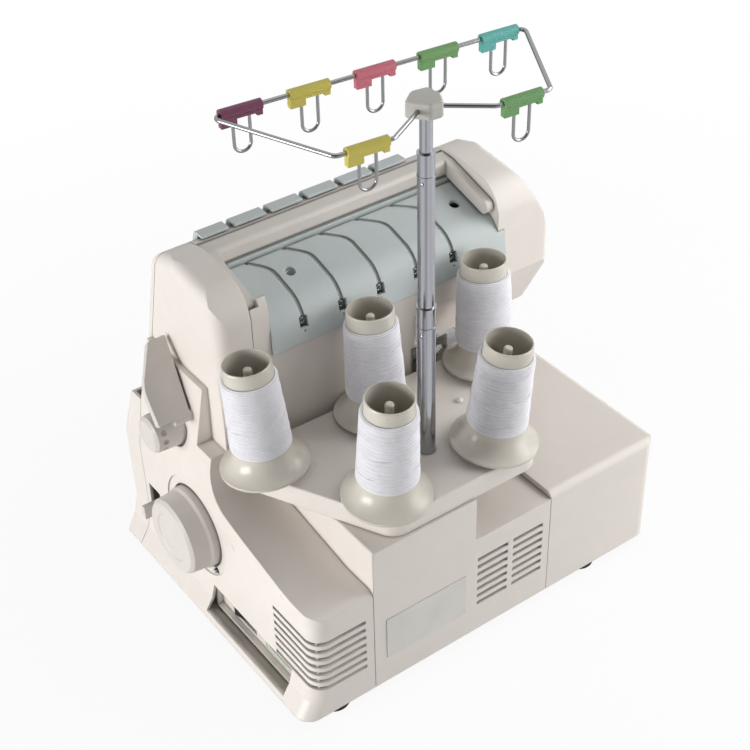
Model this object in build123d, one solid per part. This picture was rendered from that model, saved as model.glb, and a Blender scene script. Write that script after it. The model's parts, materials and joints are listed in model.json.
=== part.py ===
from build123d import *
import math
import os

os.makedirs("parts", exist_ok=True)

# ---------------------------------------------------------------- overall
overall_width = 350.0
overall_depth = 275.0
feet_height = 8.0
handwheel_reach = 10.0
spool_reach = 6.5

left_x = -overall_width / 2
right_x = overall_width / 2 - handwheel_reach
front_y = -overall_depth / 2
rear_y = overall_depth / 2 - spool_reach

wall = 2.6
floor_gap = feet_height
seam_gap = 0.4
seat_gap = 0.3
run_gap = 0.06
corner_radius = 13.0
lip_radius = 6.0

# ---------------------------------------------------------------- casing lines
bed_top_z = 108.0
shelf_top_z = 103.0
column_top_z = 143.0
lip_z = 106.5
sweep_mid_z = 118.0
sweep_top_z = 158.0
tower_top_z = 293.0
tower_rear_top_z = 285.0
tower_front_top_z = 286.0

skirt_height = 28.0
skirt_flare = 12.0
skirt_curve = 0.7
side_straight_z = 108.0
side_middle_z = 150.0
side_lean_z = 223.0
side_lean = 21.0
lean_curve = 0.3
lean_upper = 0.82
head_lean = 31.0
head_lean_z = 205.0
head_knee_z = 240.0
head_knee_radius = 130.0
head_corner_radius = 5.0
crown_lean = 2.0
crown_radius = 9.0
rear_crown_radius = 28.0
tower_cap = 6.0
front_bulge = 160.0
roof_stretch = 3.3
shoulder_radius = 60.0
sweep_radius = 28.0
sweep_rise = 8.0
wall_depth = 20.0

tower_rear_y = rear_y - 138.0
tower_front_y = front_y + 46.5
sweep_start_y = rear_y - 30.0
sweep_mid_y = rear_y - 100.0
crown_y = front_y + 70.0
belly_z = 75.0
belly_y = front_y - 3.1
front_limit_y = front_y - 4.5
chin_y = front_y + 6.0
brow_y = front_y + 25.0
brow_z = 205.0

casing_right_x = right_x - skirt_flare
tower_right_x = casing_right_x - side_lean
tower_left_x = left_x + head_lean
side_seam_x = 102.0
column_left_x = 9.0
bed_seam_x = -64.0
throat_x = -40.0
throat_rise = 98.0
throat_low_z = 152.0
throat_front_y = tower_rear_y - 29.0
head_seam_x = -121.8
front_seam_y = front_y + 27.5
front_seam_top_y = front_y + 50.5
front_seam_knee_z = 196.0
door_top_z = 196.0

# ---------------------------------------------------------------- tray and stand
tray_thick = 17.0
tray_bottom_z = column_top_z + seat_gap
tray_top_z = tray_bottom_z + tray_thick
tray_front_y = rear_y - 129.0
tray_rear_y = rear_y - 2.0
tray_front_half = 127.0
tray_rear_half = 64.0
tray_corner = 16.0
tray_skin = 2.4

mast_x = 16.0
mast_y = 81.0
lower_tube_radius = 6.7
middle_tube_radius = 5.85
top_tube_radius = 4.3
mast_foot_drop = 12.0
mast_post_radius = 11.0
lower_tube_top_z = 287.0
middle_tube_overlap = 45.0
middle_tube_top_z = 404.0
top_tube_overlap = 32.0
collar_height = 17.0
collar_step = 0.35
mast_travel = 85.0
mast_top_travel = 20.0
cap_bottom_z = 429.5
cap_height = 12.0
cap_chamfer = 1.2
cap_corners = [(13.5, -3.5), (2.5, 9.3), (-7.0, 9.3), (-11.5, -1.5), (-9.0, -12.5), (3.0, -13.5)]
rail_z = 435.0
rail_yaw = -5.0
rail_radius = 1.5
rail_bend = 5.0
rail_front_half = 118.0
rail_front_reach = 61.0
rail_rear_half = 78.0
rail_rear_reach = 23.0
rail_inner_half = 37.0
rail_inner_reach = rail_rear_reach
cap_exit_half = 7.0
cap_exit_reach = 2.0
clip_pitch = 48.5
clip_rear_half = 56.0
clip_length = 29.0
clip_radius = 3.6
clip_tab_depth = 5.0
clip_tab_thick = 4.4
clip_lug_length = 11.0
clip_lug_height = 5.5
clip_tip_length = 4.0
clip_tip_height = 6.5
loop_radius = 1.1
loop_half = 5.9
loop_drop = 29.0
bracket_x = -54.5
bracket_half = 17.0
bracket_thick = 1.5
bracket_top_z = 175.0
bracket_reach = 14.0
bracket_hole_shift = 8.5
bracket_hole_z = 164.5
bracket_hole_radius = 4.0

# ---------------------------------------------------------------- spools
front_row_x = 119.5
front_row_y = tray_front_y + 24.0
front_row_pitch = 100.0
front_row_last = 103.5
rear_row_x = 69.7
rear_row_y = tray_rear_y - 23.5
rear_row_pitch = 96.9
spool_side_lean = 3.0
spool_front_lean = 4.0
spool_rear_lean = 3.5
peg_x = -38.0
peg_y = 52.0
peg_radius = 3.0
tray_edge = 0.8
cone_flare = 5.0
pin_radius = 3.25
pin_height = 84.0
boss_radius = 11.0
boss_height = 3.2
cone_flange_radius = 32.7
cone_flange_thick = 1.8
cone_neck_radius = 20.4
cone_neck_height = 17.0
cone_top_radius = 17.6
cone_height = 89.0
cone_skin = 1.2
cone_hub_radius = 8.0
cone_hub_height = 16.0
winding_bottom = 18.5
winding_top = 78.0
winding_radius_bottom = 22.6
winding_radius_top = 20.2
winding_edge = 2.0

# ---------------------------------------------------------------- covers
handle_right_x = 101.0
handle_left_x = -121.0
handle_arm = 6.5
handle_rear_y = tower_rear_y - 8.0
handle_front_y = rear_y - 209.0
handle_bar = 16.0
handle_top_z = 290.0
handle_thick = 14.0
handle_pivot_y = tower_rear_y - 11.0
handle_pivot_z = 267.5
handle_pivot_radius = 3.0
handle_end_radius = 6.0
handle_pin_reach = 4.5

cover_right_x = 87.0
cover_left_x = -128.0
cover_skin = 2.5
groove_top_x = 74.4
groove_top_pitch = 32.2
groove_low_x = 59.5
groove_low_pitch = 34.2
groove_width = 3.4
groove_depth = 1.6
groove_count = 5
notch_width = 7.0
notch_height = 9.0
cover_hole_radius = 4.2
cover_hole_inset = 38.0
cover_hole_left = 25.0
cover_hole_y = tower_rear_y - 30.5
cover_front_y = handle_front_y + handle_bar + 1.0
cover_front_z = 273.0
cover_shoulder_y = tower_rear_y - 1.2
cover_shoulder_z = 258.0
cover_shoulder_radius = 24.0
cover_low_y = tower_rear_y + 4.0
cover_low_z = 227.0
groove_bend = 22.0
notch_top_z = 248.0
eyelet_y = cover_low_y - 6.0
eyelet_radius = 2.0
eyelet_wire = 0.7
eyelet_stem = 4.5
gutter_drop = 6.0

block_right_x = 99.2
block_first_x = 94.6
block_pitch = 32.2
block_count = 6
block_gap = 5.0
block_low_z = 212.0
block_top_z = 292.0
block_top_depth = 12.0
block_lip_rear_y = handle_front_y - 2.0
block_lip_z = 290.0
block_edge = 4.0
panel_thick = 5.0
block_rise = 5.5
dial_z = 246.0
dial_radius = 16.0
dial_width = 6.0
dial_axle = 2.0

# ---------------------------------------------------------------- side controls
wheel_y = rear_y - 160.0
wheel_z = 81.0
wheel_radius = 31.0
wheel_back_radius = 33.5
wheel_width = 23.5
wheel_recess_radius = 42.0
wheel_recess_depth = 1.2
wheel_round = 2.5
wheel_step = 4.0
wheel_dish = 0.8
wheel_dish_radius = 20.0
shaft_radius = 6.0
knob_y = rear_y - 190.0
knob_z = 158.0
knob_radius = 16.0
knob_length = 24.0
knob_dimple_count = 12
knob_taper = 1.2
knob_round = 2.5
knob_dome = 2.0
knob_dimple_x = 161.0
knob_dimple_radius = 2.6
knob_stem = 12.0
lifter_inner_low_x = 142.5
lifter_inner_top_x = 134.0
lifter_stem = 12.0
lifter_low_y = rear_y - 170.0
lifter_low_z = 178.0
lifter_length = 61.0
lifter_angle = 45.0
lifter_thick = 7.0
lifter_low_width = 26.0
lifter_top_width = 14.0
tab_y = rear_y - 226.0
tab_z = 53.0
tab_depth = 4.0
tab_height = 12.0
tab_reach_x = 165.0
tab_arm_thick = 5.0
tab_slot_y0 = -104.0
tab_slot_y1 = -87.0
tab_slot_z0 = 34.0
tab_slot_z1 = 72.0
tab_pivot_y = tab_y + 30.0
tab_pivot_z = 50.0
tab_pin_radius = 3.0

wheel_well_radius = 35.0
wheel_well_x = 147.0
knob_well_radius = 17.6
knob_well_x = 143.5
knob_face_x = 169.0
lifter_slot_width = 4.0

slot_count = 7
slot_pitch = 7.53
slot_height = 3.4
slot_top_z = 81.2
right_slot_side = 53.0
right_slot_rear_x = 109.0
left_slot_x = 6.6
left_slot_length = 29.3
left_slot_pitch = 34.3
left_slot_columns = 2
bay_y0 = -9.0
bay_y1 = 99.0
bay_z0 = 11.5
bay_z1 = 33.5
bay_depth = 9.0
rocker_y0 = 9.5
rocker_y1 = 36.5
rocker_room = 2.2
rocker_rise = 5.0
rocker_sink = 3.0
rocker_axle_radius = 0.9
rocker_axle_reach = 1.4
inlet_y0 = 53.0
inlet_y1 = 91.0
inlet_z0 = 13.8
inlet_z1 = 31.2
inlet_x0 = 133.0
inlet_x1 = 147.0
inlet_rim = 3.2
inlet_floor = 2.5
inlet_pin_radius = 1.2
inlet_pin_pitch = 8.5
rating_x0 = 18.0
rating_x1 = 91.0
rating_z0 = 33.0
rating_z1 = 72.0
rating_thick = 0.6

# ---------------------------------------------------------------- base and mechanism
pan_inset = 6.0
pan_thick = 2.2
pan_top_z = feet_height - seat_gap
pan_bottom_z = pan_top_z - pan_thick
foot_radius = 12.5
foot_dish = 8.0
foot_right_x = 130.0
foot_left_x = -112.0
foot_rear_y = 116.0
foot_front_y = -96.0
hinge_y = chin_y + 1.7
hinge_z = feet_height + 3.2
hinge_room = 0.6
hinge_pin_radius = 1.5
hinge_knuckle_radius = 2.6
hinge_length = 12.0
hinge_ear = 4.0

needle_x = -100.0
needle_y = rear_y - 200.0
presser_y = needle_y + 13.0
needle_bar_radius = 3.5
needle_bar_top_z = 232.0
needle_clamp_z = 134.0
needle_clamp_height = 11.0
needle_clamp_width = 15.0
needle_clamp_depth = 10.0
needle_radius = 0.6
needle_tip_z = 117.0
needle_pitch = 5.0
presser_bar_radius = 3.0
presser_bar_top_z = 218.0
presser_ankle_z = 128.0
foot_sole_z = 109.6
foot_sole_thick = 2.2
foot_sole_width = 24.0
foot_toe_y = -96.0
foot_heel_y = -50.0

frame_web = 8.0
frame_left_x = -34.0
frame_right_x = 70.0
frame_y0 = -86.0
frame_y1 = -14.0
frame_foot_top_z = 16.0
frame_arm_z0 = 190.0
frame_arm_z1 = 212.0
head_block_x0 = -112.0
head_block_x1 = -88.0
head_block_y0 = -82.0
head_block_y1 = -46.0
head_block_z0 = 166.0
plate_post_half = 4.0

motor_y = 66.0
motor_z = 36.0
motor_radius = 24.0
motor_x0 = 18.0
motor_x1 = 82.0
motor_boss = 9.0

dog_pitch = 12.0
dog_width = 3.0
dog_y0 = -82.0
dog_y1 = -56.0
dog_height = 12.0
dog_rise = 0.6
dog_travel = 3.0
dog_tooth = 2.0

looper_thick = 3.0
looper_bore = 2.5
looper_upper_x = -66.0
looper_upper_z = 62.0
looper_upper_y = needle_y - 4.0
looper_lower_x = -134.0
looper_lower_z = 56.0
looper_lower_y = needle_y + 5.0
looper_clear = 4.0
looper_pin = 7.0
looper_tip_z = 88.0
looper_arm = 6.0
knife_x = -80.0
knife_y = -92.0
knife_thick = 2.0
knife_width = 9.0
knife_top_z = 122.0
knife_low_z = 40.0
knife_guide_wall = 4.0
knife_guide_z0 = 28.0
knife_guide_z1 = 60.0
needle_plate_thick = 4.0
bed_front_y = front_y + 18.0
plate_x0 = -140.0
plate_x1 = -72.0
plate_depth = 66.0
plate_y0 = bed_front_y + 8.0
plate_y1 = plate_y0 + plate_depth


# ---------------------------------------------------------------- helpers
def box(x0, x1, y0, y1, z0, z1):
    """Block between two corners."""
    middle = Pos((x0 + x1) / 2, (y0 + y1) / 2, (z0 + z1) / 2)
    return middle * Box(abs(x1 - x0), abs(y1 - y0), abs(z1 - z0))


def rod_z(x, y, z0, z1, radius):
    """Upright cylinder."""
    return Pos(x, y, (z0 + z1) / 2) * Cylinder(radius, z1 - z0)


def rod_x(x0, x1, y, z, radius):
    """Cylinder along X."""
    return Pos((x0 + x1) / 2, y, z) * Rot(0, 90, 0) * Cylinder(radius, x1 - x0)


def rod_y(x, y0, y1, z, radius):
    """Cylinder along Y."""
    return Pos(x, (y0 + y1) / 2, z) * Rot(90, 0, 0) * Cylinder(radius, y1 - y0)


def outline(points):
    """Closed face from (u, v, corner radius) points."""
    edges = []
    count = len(points)
    starts = []
    ends = []
    for i, (u, v, radius) in enumerate(points):
        here = Vector(u, v)
        before = Vector(*points[i - 1][:2]) - here
        after = Vector(*points[(i + 1) % count][:2]) - here
        half = math.radians(before.get_angle(after)) / 2
        reach = radius / math.tan(half) if radius else 0.0
        starts.append(here + before.normalized() * reach)
        ends.append(here + after.normalized() * reach)
        if radius:
            bisector = (before.normalized() + after.normalized()).normalized()
            centre = here + bisector * (radius / math.sin(half))
            middle = centre - bisector * radius
            edges.append(ThreePointArc(starts[i], middle, ends[i]))
    for i in range(count):
        following = (i + 1) % count
        edges.append(Line(ends[i], starts[following]))
    return make_face(edges)


def prism_x(face, x0, x1):
    """Face drawn in (Y, Z), pushed from x0 to x1."""
    return extrude(Plane.YZ.offset(x0) * face, amount=x1 - x0)


def prism_y(face, y0, y1):
    """Face drawn in (X, Z), pushed from y0 to y1."""
    plane = Plane(origin=(0, y1, 0), x_dir=(1, 0, 0), z_dir=(0, -1, 0))
    return extrude(plane * face, amount=y1 - y0)


def prism_z(face, z0, z1):
    """Face drawn in (X, Y), pushed from z0 to z1."""
    return extrude(Plane.XY.offset(z0) * face, amount=z1 - z0)


def turned(points):
    """Solid of revolution about Z from (radius, height) points."""
    return revolve(Plane.XZ * make_face(Polyline(*points, close=True)), Axis.Z)


def wire(points, radius, bend):
    """Round wire along a path with bends of one radius."""
    path = FilletPolyline(*points, radius=bend)
    start = path @ 0
    section = Plane(origin=start, z_dir=path % 0) * Circle(radius)
    return sweep(section, path=path)


def save(shape, name):
    """Write one piece."""
    export_step(shape, "parts/" + name + ".step")


far = overall_width + overall_depth


# ---------------------------------------------------------------- hull
def head_side(inset):
    """Front view with the head's curved needle side, in (X, Z)."""
    face = outline([
        (left_x, -tower_cap, 0),
        (right_x + tower_cap, -tower_cap, 0),
        (right_x + tower_cap, tower_top_z + tower_cap, 0),
        (tower_left_x, tower_top_z + tower_cap, 0),
        (left_x, head_knee_z, head_knee_radius),
    ])
    return offset(face, amount=-inset) if inset else face


def roof_half(inset, end_y, end_z):
    """Half of the roof with rounded side edges, from the ridge down to one end."""
    wall_slope = head_lean / (tower_top_z + tower_cap - head_knee_z)
    west = tower_left_x - wall_slope * (tower_cap + (tower_top_z - tower_rear_top_z) / 2)
    face = outline([
        (west, tower_top_z, crown_radius),
        (west - wall_slope * tower_top_z, 0.0, 0),
        (tower_right_x + crown_lean, 0.0, 0),
        (tower_right_x - crown_lean, tower_top_z, crown_radius),
    ])
    face = offset(face, amount=-inset) if inset else face
    plane = Plane(origin=(0, crown_y, 0), x_dir=(1, 0, 0), z_dir=(0, -1, 0))
    run = Vector(0, end_y - crown_y, end_z - tower_top_z)
    return extrude(plane * face, amount=roof_stretch * run.length, dir=run.normalized())


def tower_volume(inset):
    """Tower and head as one closed block, drawn inward by the inset."""
    side = offset(tower_line(), amount=-inset) if inset else tower_line()
    block = prism_x(side, left_x, right_x) & plan_stack(tower_rear_y, head_corner_radius, inset)
    block = block & prism_y(head_side(inset), front_limit_y, rear_y)
    roof = roof_half(inset, tower_rear_y, tower_rear_top_z)
    roof = roof + roof_half(inset, tower_front_y, tower_front_top_z)
    low = box(-far, far, -far, far, -far, side_middle_z)
    return block & (roof + low)


def lower_line():
    """Side view of the base with its sweep up to the tower, in (Y, Z)."""
    return outline([
        (rear_y, floor_gap, 0),
        (chin_y, floor_gap, 0),
        (belly_y, belly_z, front_bulge),
        (brow_y, brow_z, 0),
        (tower_rear_y - wall_depth, brow_z, 0),
        (tower_rear_y - wall_depth, sweep_top_z, 0),
        (tower_rear_y, sweep_top_z, 0),
        (tower_rear_y, sweep_mid_z + sweep_rise, sweep_radius),
        (sweep_mid_y, sweep_mid_z, shoulder_radius),
        (sweep_start_y, lip_z, shoulder_radius),
        (rear_y, lip_z, lip_radius),
    ])


def tower_line():
    """Side view of the tower, in (Y, Z)."""
    return outline([
        (tower_rear_y, floor_gap, 0),
        (tower_rear_y, tower_rear_top_z, rear_crown_radius),
        (crown_y, tower_top_z, shoulder_radius),
        (tower_front_y, tower_front_top_z, crown_radius),
        (brow_y, brow_z, front_bulge),
        (belly_y, belly_z, front_bulge),
        (chin_y, floor_gap, 0),
    ])


def plan_stack(rear, needle_side_radius, inset):
    """Rounded plans joined up the height, so the handwheel side flares and leans."""
    levels = [
        (floor_gap, right_x),
        (floor_gap + skirt_height / 2, right_x - skirt_flare * skirt_curve),
        (floor_gap + skirt_height, casing_right_x),
        (side_straight_z, casing_right_x),
        (side_middle_z, casing_right_x - side_lean * lean_curve),
        (head_lean_z, casing_right_x - side_lean * lean_upper),
        (side_lean_z, tower_right_x),
        (tower_top_z + tower_cap, tower_right_x - crown_lean),
    ]
    faces = []
    for z, east in levels:
        face = outline([
            (left_x + inset, front_limit_y + inset, corner_radius - inset),
            (east - inset, front_limit_y + inset, corner_radius - inset),
            (east - inset, rear - inset, corner_radius - inset),
            (left_x + inset, rear - inset, needle_side_radius - inset),
        ])
        faces.append(Plane.XY.offset(z) * face)
    return loft(faces, ruled=True)


def hull(inset):
    """Whole casing volume, drawn inward by the inset."""
    low = offset(lower_line(), amount=-inset) if inset else lower_line()
    base = prism_x(low, left_x, right_x) & plan_stack(rear_y, corner_radius, inset)
    return base + tower_volume(inset)


outer = hull(0.0)
inner = hull(wall)
inner = inner + Pos(0, 0, -wall - 1.0) * inner
shell = outer - inner


def seam_zone(front_side):
    """Region ahead of or behind the front seam, drawn in (Y, Z)."""
    shift = -seam_gap / 2 if front_side else seam_gap / 2
    edge = -far if front_side else far
    return outline([
        (edge, -far, 0),
        (front_seam_y + shift, -far, 0),
        (front_seam_y + shift, front_seam_knee_z, 0),
        (front_seam_top_y + shift, tower_rear_top_z, 0),
        (front_seam_top_y + shift, far, 0),
        (edge, far, 0),
    ])


rear_zone = prism_x(seam_zone(False), left_x - 1.0, right_x + 1.0)
front_zone = prism_x(seam_zone(True), left_x - 1.0, right_x + 1.0)


# ---------------------------------------------------------------- side casing
def slots(x0, x1, y0, y1):
    """Stack of ventilation slots."""
    cut = []
    for i in range(slot_count):
        z = slot_top_z - i * slot_pitch
        cut.append(box(x0, x1, y0, y1, z - slot_height / 2, z + slot_height / 2))
    return cut


side_zone = box(side_seam_x + seam_gap / 2, far, -far, far, -far, far)
side_casing = shell & rear_zone & side_zone
slot_reach = wall + 2.0
side_casing = side_casing - slots(right_slot_rear_x, right_x, rear_y - slot_reach, rear_y + 1.0)
side_casing = side_casing - slots(
    casing_right_x - slot_reach, right_x, rear_y - right_slot_side, rear_y + 1.0
)
bay_cut = box(casing_right_x - bay_depth, right_x + 1.0, bay_y0, bay_y1, bay_z0, bay_z1)
bay_skin = box(
    casing_right_x - bay_depth - wall, casing_right_x - wall / 2,
    bay_y0 - wall, bay_y1 + wall, bay_z0 - wall, bay_z1 + wall,
)
rocker_well = box(
    casing_right_x - 2 * bay_depth, casing_right_x - bay_depth + seat_gap,
    rocker_y0 - rocker_room, rocker_y1 + rocker_room, bay_z0 + rocker_room, bay_z1 - rocker_room,
)
inlet_hole = box(
    casing_right_x - 2 * bay_depth, casing_right_x - bay_depth + seat_gap,
    inlet_y0 - seat_gap, inlet_y1 + seat_gap, inlet_z0 - seat_gap, inlet_z1 + seat_gap,
)
side_casing = side_casing + (bay_skin & outer) - bay_cut - rocker_well - inlet_hole
hub_hole_radius = shaft_radius + 2.0
knob_stem_radius = 4.0
recess_floor_x = casing_right_x - wheel_recess_depth
wheel_skin = rod_x(wheel_well_x - wall, casing_right_x, wheel_y, wheel_z, wheel_well_radius + wall)
knob_skin = rod_x(knob_well_x - wall, casing_right_x, knob_y, knob_z, knob_well_radius + wall)
lifter_boss = rod_x(
    tower_right_x - wall, casing_right_x, lifter_low_y, lifter_low_z, knob_stem_radius + wall
)
side_casing = side_casing + (wheel_skin & outer) + (knob_skin & outer) + (lifter_boss & outer)
side_casing = side_casing - rod_x(recess_floor_x, right_x, wheel_y, wheel_z, wheel_recess_radius)
side_casing = side_casing - rod_x(wheel_well_x, right_x, wheel_y, wheel_z, wheel_well_radius)
side_casing = side_casing - rod_x(side_seam_x, right_x, wheel_y, wheel_z, hub_hole_radius)
side_casing = side_casing - rod_x(knob_well_x, right_x, knob_y, knob_z, knob_well_radius)
side_casing = side_casing - rod_x(side_seam_x, right_x, knob_y, knob_z, knob_stem_radius + run_gap)
side_casing = side_casing - rod_x(
    side_seam_x, right_x, lifter_low_y, lifter_low_z, knob_stem_radius + run_gap
)
side_casing = side_casing - box(
    casing_right_x - slot_reach, right_x, tab_slot_y0, tab_slot_y1, tab_slot_z0, tab_slot_z1
)
side_casing = side_casing + rod_x(
    casing_right_x - wall - 2 * tab_arm_thick, casing_right_x - wall / 2,
    tab_pivot_y, tab_pivot_z, tab_pin_radius,
)


# ---------------------------------------------------------------- column cover
column_right_x = side_seam_x - seam_gap / 2
column_front_y = tower_rear_y + seat_gap
column_line = outline([
    (bed_seam_x + seam_gap / 2, floor_gap, 0),
    (column_right_x, floor_gap, 0),
    (column_right_x, column_top_z, 2.0),
    (column_left_x, column_top_z, 2.0),
    (column_left_x, shelf_top_z, 2.0),
    (bed_seam_x + seam_gap / 2, shelf_top_z, 0),
])
column_inner = offset(column_line, amount=-wall)
column_hollow = prism_y(column_inner, column_front_y - 1.0, rear_y - wall)
column_hollow = column_hollow + Pos(0, 0, -wall - 1.0) * column_hollow
column_cover = prism_y(column_line, column_front_y, rear_y) - column_hollow
for i in range(left_slot_columns):
    x1 = left_slot_x - i * left_slot_pitch
    column_cover = column_cover - slots(x1 - left_slot_length, x1, rear_y - slot_reach, rear_y + 1.0)
save(column_cover, "column_cover")

rating_plate = box(
    rating_x0, rating_x1, rear_y, rear_y + rating_thick, rating_z0, rating_z1
)
save(rating_plate, "rating_plate")

# ---------------------------------------------------------------- bed
bed_right_x = bed_seam_x - seam_gap / 2
bed_inner_x = throat_x - seam_gap
bed_plan = outline([
    (left_x, bed_front_y, corner_radius),
    (bed_inner_x, bed_front_y, 0),
    (bed_inner_x, tower_rear_y - seam_gap, 0),
    (bed_right_x, tower_rear_y - seam_gap, 0),
    (bed_right_x, rear_y, 0),
    (left_x, rear_y, corner_radius),
])
bed_side = outline([
    (left_x, floor_gap, 0),
    (bed_inner_x, floor_gap, 0),
    (bed_inner_x, bed_top_z, 0),
    (left_x, bed_top_z, lip_radius),
])
bed_end = outline([
    (bed_front_y, floor_gap, 0),
    (bed_front_y, bed_top_z, lip_radius),
    (rear_y, bed_top_z, lip_radius),
    (rear_y, floor_gap, 0),
])


def bed_volume(inset):
    """Bed block from its plan and two side views."""
    if not inset:
        faces = (bed_plan, bed_side, bed_end)
    else:
        faces = [offset(face, amount=-inset) for face in (bed_plan, bed_side, bed_end)]
    block = prism_z(faces[0], floor_gap, bed_top_z)
    block = block & prism_y(faces[1], bed_front_y, rear_y)
    return block & prism_x(faces[2], left_x, bed_inner_x)


bed_hollow = bed_volume(wall)
bed_hollow = bed_hollow + Pos(0, 0, -wall - 1.0) * bed_hollow
bed_cover = bed_volume(0.0) - bed_hollow
bed_cover = bed_cover - box(plate_x0, plate_x1, plate_y0, plate_y1, shelf_top_z - wall, far)
bed_cover = bed_cover - box(
    bed_inner_x - wall - 1.0, bed_inner_x + 1.0, frame_y0 - 1.0, plate_y1, -far, frame_foot_top_z + 1.0
)
save(bed_cover, "bed_cover")

# ---------------------------------------------------------------- tower and head
def throat(inset):
    """Open space under the head, grown by the inset."""
    face = outline([
        (far, -far, 0),
        (far, bed_top_z + throat_rise + inset, 0),
        (tower_rear_y + 1.0, bed_top_z + throat_rise + inset, 0),
        (throat_front_y + 1.0, throat_low_z + inset, 0),
        (-far, throat_low_z + inset, 0),
        (-far, -far, 0),
    ])
    return prism_x(face, -far, throat_x + inset)


low_block = box(-far, far, -far, far, -far, lip_z)
tower_out = tower_volume(0.0)
tower_in = tower_volume(wall)
tower_in = tower_in + Pos(0, 0, -wall - 1.0) * tower_in
head_shell = (tower_out - throat(0.0)) - (tower_in - throat(wall))

cover_cut = outline([
    (far, cover_low_z - 0.6, 0),
    (far, far, 0),
    (handle_front_y - seam_gap, far, 0),
    (handle_front_y - seam_gap, handle_top_z - handle_thick - seam_gap, 0),
    (handle_front_y + handle_bar - 2.0, handle_top_z - handle_thick - seam_gap, 0),
    (handle_front_y + handle_bar - 2.0, cover_low_z - 0.6, 0),
])
recess_skin = outline([
    (handle_front_y - seam_gap - wall, handle_top_z - handle_thick - seam_gap - wall, 0),
    (handle_front_y - seam_gap - wall, tower_top_z, 0),
    (handle_front_y - seam_gap, tower_top_z, 0),
    (handle_front_y - seam_gap, handle_top_z - handle_thick - seam_gap, 0),
    (handle_front_y + handle_bar - 2.0, handle_top_z - handle_thick - seam_gap, 0),
    (handle_front_y + handle_bar - 2.0, handle_top_z - handle_thick - seam_gap - wall, 0),
])
middle_x0 = head_seam_x + seam_gap / 2
middle_x1 = side_seam_x - seam_gap / 2
tower_casing = head_shell & rear_zone & box(middle_x0, middle_x1, -far, far, bed_top_z + seam_gap, far)
tower_casing = tower_casing + (prism_x(recess_skin, middle_x0, middle_x1) & tower_out)
arm_end_y = handle_pivot_y + handle_end_radius + seam_gap
cover_room = prism_x(cover_cut, middle_x0 - 1.0, middle_x1 + 1.0)
cover_room = cover_room - box(cover_right_x + seat_gap, far, arm_end_y, far, -far, far)
tower_casing = tower_casing - cover_room
bar_window = box(
    needle_x - 10.0, needle_x + 10.0, needle_y - 12.0, presser_y + 9.0,
    throat_low_z - 1.0, throat_low_z + wall + 1.0,
)
tower_casing = tower_casing - bar_window

head_cheek = box(head_seam_x - seam_gap / 2 - wall, head_seam_x - seam_gap / 2, -far, far, lip_z, far)
head_zone = box(-far, head_seam_x - seam_gap / 2, -far, far, lip_z, far)
head_casing = (head_shell & head_zone) + ((tower_out - throat(0.0)) & head_cheek)
cover_line = outline([
    (cover_front_y, cover_low_z, 0),
    (cover_front_y, cover_front_z, 3.0),
    (cover_shoulder_y, cover_shoulder_z, cover_shoulder_radius),
    (cover_low_y, cover_low_z, 1.0),
])
head_casing = head_casing - prism_x(
    offset(cover_line, amount=seat_gap), cover_left_x - seat_gap, head_seam_x + 1.0
)
pivot_hole = handle_pivot_radius + run_gap
head_casing = head_casing - rod_x(
    head_seam_x - 5.0, head_seam_x + 1.0, handle_pivot_y, handle_pivot_z, pivot_hole
)
save(head_casing, "head_casing")

side_cheek = box(
    side_seam_x + seam_gap / 2, side_seam_x + seam_gap / 2 + wall,
    -far, far, cover_low_z - gutter_drop, far,
)
side_casing = side_casing + (tower_out & side_cheek & rear_zone)
side_casing = side_casing - rod_x(
    side_seam_x - 1.0, side_seam_x + 5.0, handle_pivot_y, handle_pivot_z, pivot_hole
)

# ---------------------------------------------------------------- front
door_x0 = throat_x - seam_gap
door_zone = box(throat_x, far, -far, far, -far, door_top_z)
door = (tower_out - tower_in) & front_zone & door_zone

panel_zone = box(middle_x0, far, -far, far, door_top_z + seam_gap, far)
front_panel = head_shell & front_zone & panel_zone
block_left_x = block_right_x - block_count * block_pitch + block_gap
front_panel = front_panel - box(
    block_left_x - seam_gap, block_first_x + seam_gap, -far, 0.0, block_low_z - seam_gap, far
)
save(front_panel, "front_panel")

block_low_y = front_seam_y - 3.0
block_top_y = front_seam_top_y - seam_gap
block_line = outline([
    (block_top_y, tower_front_top_z - 1.0, 0),
    (block_top_y, block_lip_z, 0),
    (block_lip_rear_y, block_lip_z, 0),
    (block_lip_rear_y, block_top_z, 1.0),
    (block_lip_rear_y - block_top_depth, block_top_z, block_edge),
    (block_low_y - block_rise, block_low_z, 2.0),
    (block_low_y + 2.0, block_low_z, 0),
])
back_line = outline([
    (block_top_y, tower_front_top_z - panel_thick, 0),
    (block_top_y, tower_front_top_z + 1.0, 0),
    (block_top_y - panel_thick, tower_front_top_z + 1.0, 0),
    (block_low_y - 1.0, block_low_z, 0),
    (block_low_y + panel_thick - 1.0, block_low_z, 0),
    (block_top_y - 3.0, tower_front_top_z - panel_thick, 0),
])
tension_panel = prism_x(back_line, block_left_x, block_first_x)
dial_y = front_seam_y + 12.0
dial_places = []
for i in range(block_count):
    x1 = block_right_x - i * block_pitch
    x0 = x1 - block_pitch + block_gap
    tension_panel = tension_panel + prism_x(block_line, x0, min(x1, block_first_x))
    if i:
        dial_places.append((x0 + x1) / 2)
for x in dial_places:
    half = dial_width / 2 + seat_gap
    ear = half + dial_width
    tension_panel = tension_panel + box(
        x - ear, x + ear, dial_y - dial_width, dial_y + dial_width,
        dial_z - dial_width, dial_z + dial_width,
    )
    tension_panel = tension_panel - rod_x(x - half, x + half, dial_y, dial_z, dial_radius + seat_gap)
    tension_panel = tension_panel - rod_x(x - ear, x + ear, dial_y, dial_z, dial_axle + run_gap)
save(tension_panel, "tension_panel")

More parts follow.
